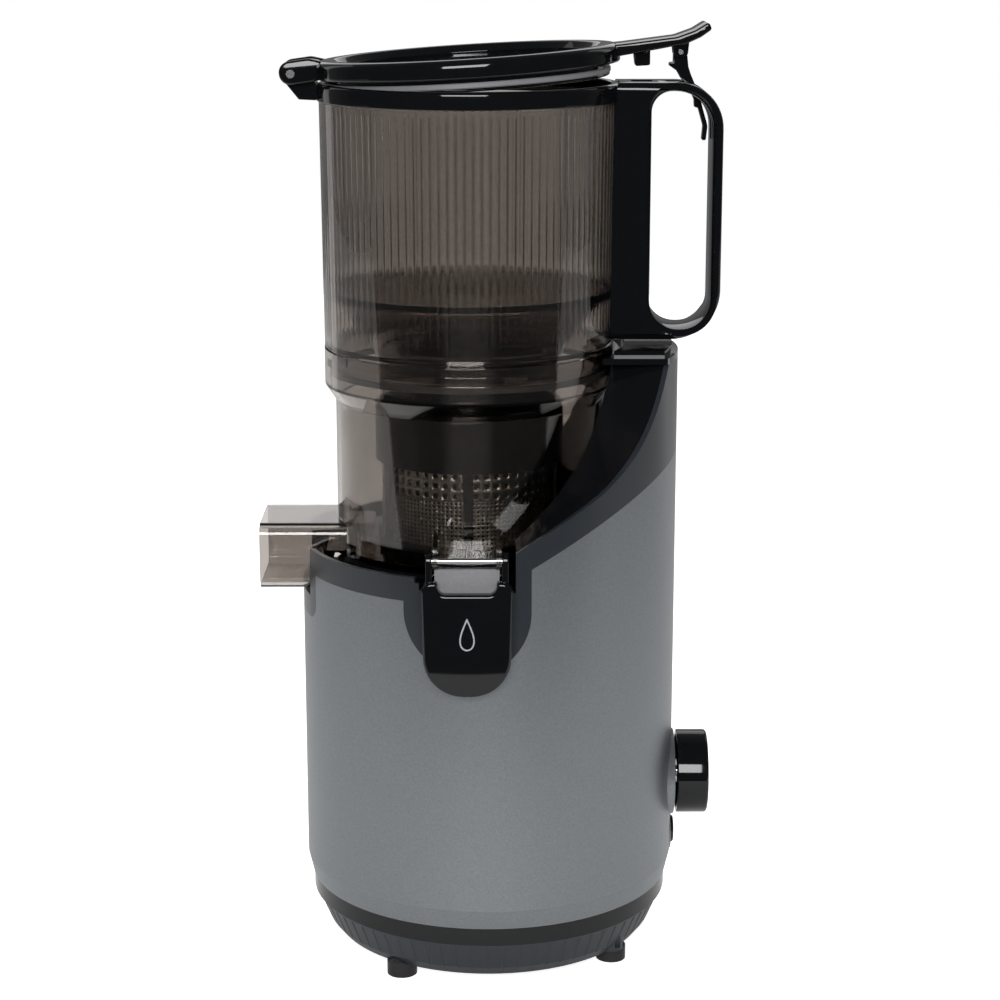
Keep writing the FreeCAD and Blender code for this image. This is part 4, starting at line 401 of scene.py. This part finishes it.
class JuicerStage(bpy.types.Operator):
    """Add the floor, the lamps, the world and the camera"""
    bl_idname = "juicer.stage"
    bl_label = "Stage"

    def execute(self, context):
        scene = context.scene
        scene.view_settings.view_transform = "Standard"
        tint = scene.juicer_colours

        floor = bpy.data.objects.new("floor", mesh_from("floor", [
            (-2500, -480, 0), (2500, -480, 0), (2500, 2200, 0), (-2500, 2200, 0)], [(0, 1, 2, 3)]))
        scene.collection.objects.link(floor)
        material, tree = blank_material("Paper, plain matt")
        place = add(tree, "TexCoord")
        fibre = add(tree, "TexNoise", {"Vector": place.outputs["Object"], "Scale": 400.0})
        relief = add(tree, "Bump", {"Height": fibre.outputs["Fac"], "Strength": 0.02, "Distance": 0.2 * MM})
        matt = add(tree, "BsdfPrincipled", {
            "Base Color": (*tint.floor, 1), "Roughness": 0.9, "Specular IOR Level": 0.1,
            "Normal": relief.outputs[0]})
        path = add(tree, "LightPath")
        seen = add(tree, "Math", {0: path.outputs["Is Camera Ray"], 1: path.outputs["Is Transmission Ray"]},
                   operation="MAXIMUM")
        lift = add(tree, "Math", {0: seen.outputs[0], 1: 0.8}, operation="MULTIPLY")
        glow = add(tree, "Emission", {"Color": (1, 1, 1, 1), "Strength": lift.outputs[0]})
        both = add(tree, "AddShader", {0: matt.outputs[0], 1: glow.outputs[0]})
        finish_material(tree, both.outputs[0])
        floor.data.materials.append(material)

        world = bpy.data.worlds.new("Studio")
        scene.world = world
        world.use_nodes = True
        tree = world.node_tree
        tree.nodes.clear()
        path = add(tree, "LightPath")
        seen = add(tree, "Math", {0: path.outputs["Is Camera Ray"], 1: path.outputs["Is Transmission Ray"]},
                   operation="MAXIMUM")
        place = add(tree, "TexCoord")
        split = add(tree, "SeparateXYZ", {"Vector": place.outputs["Generated"]})
        # The studio as glossy faces see it: dim grey behind the juicer, nearly black in front of it.
        depth = add(tree, "MapRange", {"Value": split.outputs["Y"], "From Min": 0.1, "From Max": 0.95,
                                       "To Min": 0.05, "To Max": 0.16})
        mirror = add(tree, "Background", {"Color": (1, 1, 1, 1), "Strength": depth.outputs[0]})
        ambient = add(tree, "Background", {"Color": (1, 1, 1, 1), "Strength": 0.22})
        # Clear parts see a white card along the front view and dim light to its sides, so bent rays
        # draw the ribs. From the sides the clear parts look darker for the same reason.
        aside = add(tree, "Math", {0: split.outputs["X"]}, operation="ABSOLUTE")
        card = add(tree, "MapRange", {"Value": aside.outputs[0], "From Min": 0.22, "From Max": 0.40,
                                      "To Min": 1.0, "To Max": 0.25})
        bent = add(tree, "Math", {0: card.outputs[0], 1: path.outputs["Is Camera Ray"]}, operation="MAXIMUM")
        shown = add(tree, "Background", {"Color": (1, 1, 1, 1), "Strength": bent.outputs[0]})
        other = add(tree, "MixShader", {0: path.outputs["Is Glossy Ray"], 1: ambient.outputs[0],
                                        2: mirror.outputs[0]})
        whole = add(tree, "MixShader", {0: seen.outputs[0], 1: other.outputs[0], 2: shown.outputs[0]})
        add(tree, "OutputWorld", {"Surface": whole.outputs[0]})

        lamps = [
            ("left softbox", (-1.5, -0.9, 0.62), (1.0, 1.3), 0.6),
            ("right softbox", (1.5, -0.9, 0.60), (1.0, 1.3), 0.6),
            ("front key", (-0.1, -2.3, 1.15), (1.4, 1.0), 56),
            ("top softbox", (0.0, 0.25, 1.45), (1.2, 0.9), 9),
            ("back right strip", (0.80, 0.75, 0.6), (0.25, 1.2), 0.5),
            ("back left strip", (-0.85, 0.75, 0.6), (0.25, 1.2), 0.5),
            ("back key", (0.0, 2.2, 1.2), (1.6, 1.0), 4),
        ]
        for name, spot, size, power in lamps:
            light = bpy.data.lights.new(name, "AREA")
            light.shape = "RECTANGLE"
            light.size, light.size_y = size
            light.energy = power
            lamp = bpy.data.objects.new(name, light)
            lamp.location = spot
            aim = Vector((0, 0, 0.25)) - Vector(spot)
            lamp.rotation_euler = aim.to_track_quat("-Z", "Y").to_euler()
            lamp.visible_glossy = "softbox" not in name
            scene.collection.objects.link(lamp)

        camera_data = bpy.data.cameras.new("photo_camera")
        camera_data.lens = CAMERA_LENS
        camera_data.sensor_width = 36
        camera_data.clip_end = 60
        camera = bpy.data.objects.new("photo_camera", camera_data)
        camera.location = CAMERA_SPOT
        camera.rotation_euler = (math.radians(90 - CAMERA_DOWN), 0, 0)
        scene.collection.objects.link(camera)
        scene.camera = camera
        return {"FINISHED"}


class JuicerHousing(bpy.types.Operator):
    """Dress the painted body, its trim, the black saddle and the foot"""
    bl_idname = "juicer.housing"
    bl_label = "Housing"

    def execute(self, context):
        dress(FINISHES["paint"], "base_shell")
        dress(FINISHES["trim"], "trim_band")
        dress(FINISHES["gloss"], "saddle_cover", "neck_cap", "lower_ring")
        dress(FINISHES["pan"], "base_pan")
        dress(FINISHES["rubber"], "foot_pads", "cord_gland")
        dress(FINISHES["bright"], "base_screws")
        return {"FINISHED"}


class JuicerDrive(bpy.types.Operator):
    """Dress the motor, the gears and what holds them"""
    bl_idname = "juicer.drive"
    bl_label = "Motor and gears"

    def execute(self, context):
        dress(FINISHES["zinc"], "motor_can")
        dress(FINISHES["stack"], "stator_core", "motor_rotor")
        dress(FINISHES["bright"], "motor_bearings", "gear_pin", "drive_shaft", "gearbox_screws",
              "output_bearings", "switch_spindle", "button_spring")
        dress(FINISHES["brass"], "motor_pinion")
        dress(FINISHES["nylon"], "compound_gear", "output_gear")
        dress(FINISHES["food"], "gearbox_lower", "gearbox_upper", "motor_fan")
        dress(FINISHES["rubber"], "motor_mounts")
        dress(FINISHES["silicone"], "shaft_seal")
        dress(FINISHES["pan"], "rotary_switch", "button_switch", "reed_sensor")
        dress(FINISHES["board"], "control_board")
        return {"FINISHED"}


class JuicerControls(bpy.types.Operator):
    """Make the round knob with its pointer and the start button"""
    bl_idname = "juicer.controls"
    bl_label = "Controls"

    def execute(self, context):
        at = (0, 0, KNOB_Z)
        knob = turned("knob", [
            (3, 97.5), (6, 97.5), (6, 108.9), (19, 108.9), (19, 97.2), (21.5, 97.2, 0.3), (21.5, 112.9, 1.6),
            (17.5, 112.9, 0.6), (16.6, 112.2, 0.6), (0, 112.2), (0, 108.9), (3, 108.9)], 160, "x", at)
        pointer = moulded("pointer", [outline([(-1.1, 4, 1), (1.1, 4, 1), (1.1, 15, 1), (-1.1, 15, 1)])],
                          111.9, 112.8, 0.3)
        quarter = Matrix.Rotation(math.radians(-90), 4, "Z")
        pointer.transform(Matrix.Translation((0, 0, KNOB_Z * MM)) @ quarter)
        show("knob_cap", joined("knob_cap", [knob, pointer]), "knob", FINISHES["gloss"],
             ("control_knob",))
        button = turned("button", [
            (0, 85.3), (7, 85.3), (7, 96.3, 1.1), (4.5, 96.2, 2), (0, 95.6)], 96, "x", (0, 0, BUTTON_Z))
        show("start_button_cap", button, "button", FINISHES["gloss"], ("start_button",))
        return {"FINISHED"}


class JuicerBowl(bpy.types.Operator):
    """Dress the clear bowl with its seals and ring"""
    bl_idname = "juicer.bowl"
    bl_label = "Bowl"

    def execute(self, context):
        dress(FINISHES["smoke"], "juice_bowl")
        dress(FINISHES["gloss"], "bowl_ring")
        dress(FINISHES["silicone"], "pulp_plug", "bowl_seal", "collar_gasket")
        return {"FINISHED"}


class JuicerStrainer(bpy.types.Operator):
    """Make the perforated strainer and dress its frame and the auger"""
    bl_idname = "juicer.strainer"
    bl_label = "Strainer and auger"

    def execute(self, context):
        sizes = context.scene.juicer_sizes
        radius, low, high = 43.85, 213.0, 257.0
        vertices, faces = [], []

        def sieve_row(z0, z1, count, hole):
            """One band of the sheet with a ring of round holes; hole 0 leaves it plain."""
            pitch = 2 * math.pi / count
            middle = (z0 + z1) / 2
            for k in range(count):
                start = len(vertices)
                half = pitch / 2
                square = [(half * a, b) for a, b in ((1, 0), (1, 1), (0, 1), (-1, 1), (-1, 0), (-1, -1),
                                                     (0, -1), (1, -1))]
                for a, b in square:
                    angle = k * pitch + a
                    z = middle + b * (z1 - z0) / 2
                    vertices.append((radius * math.cos(angle), radius * math.sin(angle), z))
                if not hole:
                    faces.append(tuple(range(start, start + 8)))
                    continue
                for n in range(8):
                    turn = math.radians(45 * n)
                    angle = k * pitch + hole * math.cos(turn) / radius
                    vertices.append((radius * math.cos(angle), radius * math.sin(angle),
                                     middle + hole * math.sin(turn)))
                for n in range(8):
                    m = (n + 1) % 8
                    faces.append((start + n, start + m, start + 8 + m, start + 8 + n))

        pitch = sizes.sieve_pitch / MM
        plain_panels, low_hem, high_hem = 88, 2, 2.5
        fine_rows, fine_share = 12, 0.26
        coarse_rows, coarse_count, coarse_hole, band = 3, 55, 1.3, 5.0
        fine_top = high - high_hem - coarse_rows * band
        count_fine = int(2 * math.pi * radius / pitch)
        rows = (fine_top - low - low_hem) / fine_rows
        sieve_row(low, low + low_hem, plain_panels, 0)
        for row in range(fine_rows):
            start = low + low_hem + row * rows
            end = low + low_hem + (row + 1) * rows
            sieve_row(start, end, count_fine, pitch * fine_share)
        for row in range(coarse_rows):
            sieve_row(fine_top + row * band, fine_top + (row + 1) * band, coarse_count, coarse_hole)
        sieve_row(high - high_hem, high, plain_panels, 0)
        mesh = bpy.data.meshes.new("sieve")
        mesh.from_pydata([Vector((x + BOWL_X, y, z)) * MM for x, y, z in vertices], [], faces)
        weld(mesh)
        sheet = show("strainer_sieve", mesh, "bowl", FINISHES["sieve"], ("strainer_basket",))
        wall = sheet.modifiers.new("Sheet thickness", "SOLIDIFY")
        wall.thickness = 0.35 * MM
        wall.offset = 0
        dress(FINISHES["food"], "strainer_frame", "auger")
        dress(FINISHES["bright"], "auger_socket")
        return {"FINISHED"}


class JuicerFlap(bpy.types.Operator):
    """Make the flap that shuts the juice spout, with its drop icon"""
    bl_idname = "juicer.flap"
    bl_label = "Spout flap"

    def execute(self, context):
        sizes = context.scene.juicer_sizes
        y_pin, z_pin = CAP_PIN
        foot, top, notch = 158.75, 214.75, 208.75
        front, back = -104.2, -97.7
        face = moulded("face", [outline([
            (-20.5, foot, 19), (20.5, foot, 19), (21.5, top, 5), (14, top, 1), (14, notch, 4),
            (-14, notch, 4), (-14, top, 1), (-21.5, top, 5)], 10)], front, back, 1.4, (BOWL_X, 0, 0))
        meshes = [face]
        for side in (-1, 1):
            x = BOWL_X + side * (16.6 + 1.45)
            arm = moulded("arm", [outline([
                (y_pin - 4, z_pin - 19), (y_pin + 1.5, z_pin - 19), (y_pin + 1.5, z_pin - 8),
                (y_pin + 4, z_pin + 4, 3.9), (y_pin - 4, z_pin + 4, 3.9)])], x - 1.45, x + 1.45, 0.5)
            arm.transform(Matrix.Translation((x * MM, 0, 0)) @ Matrix.Rotation(math.radians(90), 4, "Z")
                          @ Matrix.Translation((0, -x * MM, 0)))
            meshes.append(arm)
        show("flap_face", joined("flap_face", meshes), "flap", FINISHES["gloss"],
             ("spout_cap",))
        drop = []
        for k in range(48):
            turn = 2 * math.pi * k / 48
            width = 4.6 * math.sin(turn) * (math.sin(turn / 2) ** 1.4)
            drop.append((width, 7.6 * math.cos(turn)))
        curve = bpy.data.curves.new("drop", "CURVE")
        curve.dimensions = "3D"
        curve.bevel_depth = sizes.icon_line / 2
        spline = curve.splines.new("POLY")
        spline.points.add(len(drop) - 1)
        for point, (x, z) in zip(spline.points, drop):
            point.co = ((BOWL_X + x) * MM, (front - 0.02) * MM, (189.7 + z) * MM, 1)
        spline.use_cyclic_u = True
        holder = bpy.data.objects.new("drop", curve)
        mesh = bpy.data.meshes.new_from_object(holder)
        bpy.data.objects.remove(holder)
        show("drop_icon", mesh, "flap", FINISHES["ink"])
        dress(FINISHES["silicone"], "cap_stopper")
        dress(FINISHES["bright"], "cap_pin")
        return {"FINISHED"}


class JuicerHopper(bpy.types.Operator):
    """Make the ribbed clear hopper and dress its funnel and rim"""
    bl_idname = "juicer.hopper"
    bl_label = "Hopper"

    def execute(self, context):
        sizes = context.scene.juicer_sizes
        pitch, depth = sizes.rib_pitch / MM, sizes.rib_depth / MM
        count = int(2 * math.pi * 70 / pitch)
        parts = 8
        outer = [(66.9, 301.2), (67.1, 301), (68.9, 301), (69.1, 301.2), (69.1, 310.6), (71.5, 310.6),
                 (71.8, 310.9), (72.9, 430.7), (72.6, 431)]
        ribbed = [(70.5, 431), (70.5, 429), (70.45, 427), (69.7, 346), (69.65, 344), (69.4, 313.6),
                  (66.9, 311.1)]
        ring = outer + ribbed
        vertices, faces = [], []
        steps = count * parts
        for k in range(steps):
            angle = 2 * math.pi * k / steps
            wave = max(0.0, 1 - abs((k % parts) - parts / 2) / 1.5)
            for n, (r, z) in enumerate(ring):
                inset = depth * wave if 345 < z < 428 and n >= len(outer) else 0
                vertices.append((BOWL_X + (r - inset) * math.cos(angle), (r - inset) * math.sin(angle), z))
            here, after = k * len(ring), ((k + 1) % steps) * len(ring)
            for n in range(len(ring)):
                m = (n + 1) % len(ring)
                faces.append((here + n, after + n, after + m, here + m))
        tube = mesh_from("hopper_tube", vertices, faces)
        lugs = []
        for k in range(3):
            face = outline([(-7, 303, 0.8), (7, 303, 0.8), (7, 305.4, 0.8), (-7, 305.4, 0.8)])
            lug = moulded("lug", [face], 68.2, 70.5, 0.3)
            turn = math.radians(120 * k + 60 - 90)
            lug.transform(Matrix.Translation((BOWL_X * MM, 0, 0)) @ Matrix.Rotation(turn, 4, "Z"))
            lugs.append(lug)
        show("hopper_clear", joined("hopper_clear", [tube] + lugs), "hopper", FINISHES["smoke"],
             ("hopper_wall",))
        rim = turned("rim", [
            (69.9, 431), (74, 431, 0.6), (74, 439.5, 1.8), (69.9, 439.5, 0.8)], 220, "z", (BOWL_X, 0, 0))
        show("hopper_lip", rim, "hopper", FINISHES["gloss"], ("hopper_rim",))
        dress(FINISHES["smoke"], "hopper_funnel")
        dress(FINISHES["gloss"], "hinge_bracket")
        dress(FINISHES["bright"], "hinge_pin", "rod_magnet", "rod_spring")
        dress(FINISHES["food"], "push_rod")
        return {"FINISHED"}


class JuicerHandle(bpy.types.Operator):
    """Make the D-shaped handle with rounded edges"""
    bl_idname = "juicer.handle"
    bl_label = "Handle"

    def execute(self, context):
        edge = context.scene.juicer_sizes.edge_round / MM
        outer = outline([(56, 315), (113.9, 315, 24), (113.9, 440, 22), (56, 440)], 14)
        grip = outline([(79, 320, 14.4), (79, 436, 10), (108.9, 436, 18.5), (108.9, 320, 14.4)], 12)
        handle = moulded("handle", [outer, grip], -17.5, 17.5, edge)
        wall_air = turned("wall_air", [
            (0, 300), (71.85, 300), (71.85, 310.6), (72.95, 431.05), (74.05, 431.06), (74.05, 460),
            (0, 460)], 200, "z", (BOWL_X, 0, 0))
        cutters = [
            wall_air,
            block("nub_hole", (69.6, -6.5, 434.1), (80, 6.5, 446)),
            block("latch_slot", (86.3, -4.5, 412), (120, 4.5, 446)),
            turned("rod_room", [
                (0, 316.2), (3.7, 316.2), (3.7, 400.1), (4.6, 400.1), (4.6, 436.1), (0, 436.1)],
                48, "z", (72.5, 0, 0)),
        ]
        handle = carved(handle, cutters)
        show("grip_handle", handle, "hopper", FINISHES["gloss"], ("hopper_handle",))
        return {"FINISHED"}


class JuicerLid(bpy.types.Operator):
    """Make the lid ring with its hinge arms and front tab, and dress the window"""
    bl_idname = "juicer.lid"
    bl_label = "Lid"

    def execute(self, context):
        centre = (LID_CENTRE, 0, 0)
        ring = turned("ring", [
            (59.8, -3, 0.3), (65.3, -3.8), (66.3, -10, 0.5), (68.7, -10, 0.8), (68.7, -3.8), (74, -3.8, 1.2),
            (74, 5, 3.6), (65, 5, 2), (62, 1.6, 0.6), (62, -1.8), (59.8, -1.8)], 220, "z", centre, 7)
        meshes = [ring]
        for y0 in (-12.9, 7.9):
            arm = moulded("arm", [outline([
                (-5.6, -5.6, 5.4), (9, -4.6), (15, -3.8), (17.6, 4.4), (9, 6.8, 8), (-5.6, 5.6, 5.4)], 8)],
                y0, y0 + 5, 1.2)
            bore = turned("bore", [(0, -40), (2.15, -40), (2.15, 40), (0, 40)], 32, "y")
            meshes.append(carved(arm, [bore]))
        x = LATCH_X
        tab = moulded("tab", [outline([
            (151.6, -1.9), (x - 11.4, 1.0, 6), (x + 2.6, 2.8, 10), (x + 9.5, 5.4, 8), (x + 15, 8.8, 1.4),
            (x + 13.8, 12.5, 1.4), (x + 7, 8.9, 8), (x - 1.9, 6.3, 12), (x - 27, 4.6, 6), (151.6, 4.2)], 4)],
            -15, 15, 0.9)
        tab = carved(tab, [block("lever_room", (x - 5.5, -3.9, -8), (x + 6.5, 3.9, 1.9))])
        meshes.append(tab)
        meshes.append(moulded("nub", [outline([(166.6, -6.9, 1), (173.8, -6.9, 1), (174.3, 2), (166, 2)], 3)],
                              -5, 5, 0.5))
        for y0 in (-6.1, 3.9):
            lug = moulded("lug", [outline([
                (x - 3.6, 3.2), (x - 3.2, LATCH_Z - 2.4, 2), (x + 3.4, LATCH_Z - 2.4, 2), (x + 4.6, 4)], 4)],
                y0, y0 + 2.2, 0.3)
            hole = turned("hole", [(0, -20), (1.2, -20), (1.2, 20), (0, 20)], 24, "y", (x, 0, LATCH_Z))
            meshes.append(carved(lug, [hole]))
        ring_mesh = about_hinge(joined("lid_hoop", meshes))
        show("lid_hoop", ring_mesh, "lid", FINISHES["gloss"], ("lid_ring",))
        dress(FINISHES["smoke"], "lid_window")
        dress(FINISHES["silicone"], "lid_gasket")
        dress(FINISHES["bright"], "latch_pin", "latch_spring")
        return {"FINISHED"}


class JuicerLatch(bpy.types.Operator):
    """Make the curved latch lever that hangs through the handle"""
    bl_idname = "juicer.latch"
    bl_label = "Latch"

    def execute(self, context):
        lever = [(-3.0, 2.7, 1), (3.2, 2.5, 1), (3.7, -7.5, 3), (4.8, -11.5), (6.9, -17.2), (8.8, -22.8),
                 (9.8, -27.9), (11.8, -36.5, 6), (10.6, -43.5, 0.8), (8.6, -43.3, 0.6), (9.6, -36.4, 4),
                 (7.6, -27.7, 0.8), (5.8, -27.1, 0.6), (5.8, -23.6, 0.6), (3.9, -18.5), (-0.3, -12.7, 3),
                 (-2.1, -9.1), (-5.7, -6.3, 0.6), (-5.3, -4.9, 0.5), (-3.5, -5.0)]
        corners = [(LATCH_X + x, LATCH_Z + z, *r) for x, z, *r in lever]
        mesh = moulded("lever", [outline(corners, 4)], -3.5, 3.5, 0.4)
        hole = turned("hole", [(0, -20), (1.3, -20), (1.3, 20), (0, 20)], 24, "y", (LATCH_X, 0, LATCH_Z))
        mesh = about_hinge(carved(mesh, [hole]))
        show("latch_lever", mesh, "latch", FINISHES["gloss"], ("lid_latch",))
        return {"FINISHED"}


PIECES = (JuicerHousing, JuicerDrive, JuicerControls, JuicerBowl, JuicerStrainer, JuicerFlap, JuicerHopper,
          JuicerHandle, JuicerLid, JuicerLatch)


class JuicerPanel(bpy.types.Panel):
    """Lists the pieces of the juicer and what can be changed"""
    bl_idname = "VIEW3D_PT_juicer"
    bl_label = "Cold press juicer"
    bl_space_type = "VIEW_3D"
    bl_region_type = "UI"
    bl_category = "Juicer"

    def draw(self, context):
        layout = self.layout
        for settings in (context.scene.juicer_colours, context.scene.juicer_sizes):
            for key in settings.bl_rna.properties.keys():
                if key not in ("rna_type", "name"):
                    layout.prop(settings, key)
        for kind in (JuicerStage,) + PIECES:
            layout.operator(kind.bl_idname)


CLASSES = (JuicerColours, JuicerSizes, JuicerStage) + PIECES + (JuicerPanel,)


def register():
    for kind in CLASSES:
        bpy.utils.register_class(kind)
    bpy.types.Scene.juicer_colours = bpy.props.PointerProperty(type=JuicerColours)
    bpy.types.Scene.juicer_sizes = bpy.props.PointerProperty(type=JuicerSizes)


def unregister():
    del bpy.types.Scene.juicer_sizes
    del bpy.types.Scene.juicer_colours
    for kind in reversed(CLASSES):
        bpy.utils.unregister_class(kind)


def main():
    register()
    FINISHES.update(make_finishes())
    bpy.ops.juicer.stage()
    bpy.ops.juicer.housing()
    bpy.ops.juicer.drive()
    bpy.ops.juicer.controls()
    bpy.ops.juicer.bowl()
    bpy.ops.juicer.strainer()
    bpy.ops.juicer.flap()
    bpy.ops.juicer.hopper()
    bpy.ops.juicer.handle()
    bpy.ops.juicer.lid()
    bpy.ops.juicer.latch()


if __name__ == "__main__":
    main()
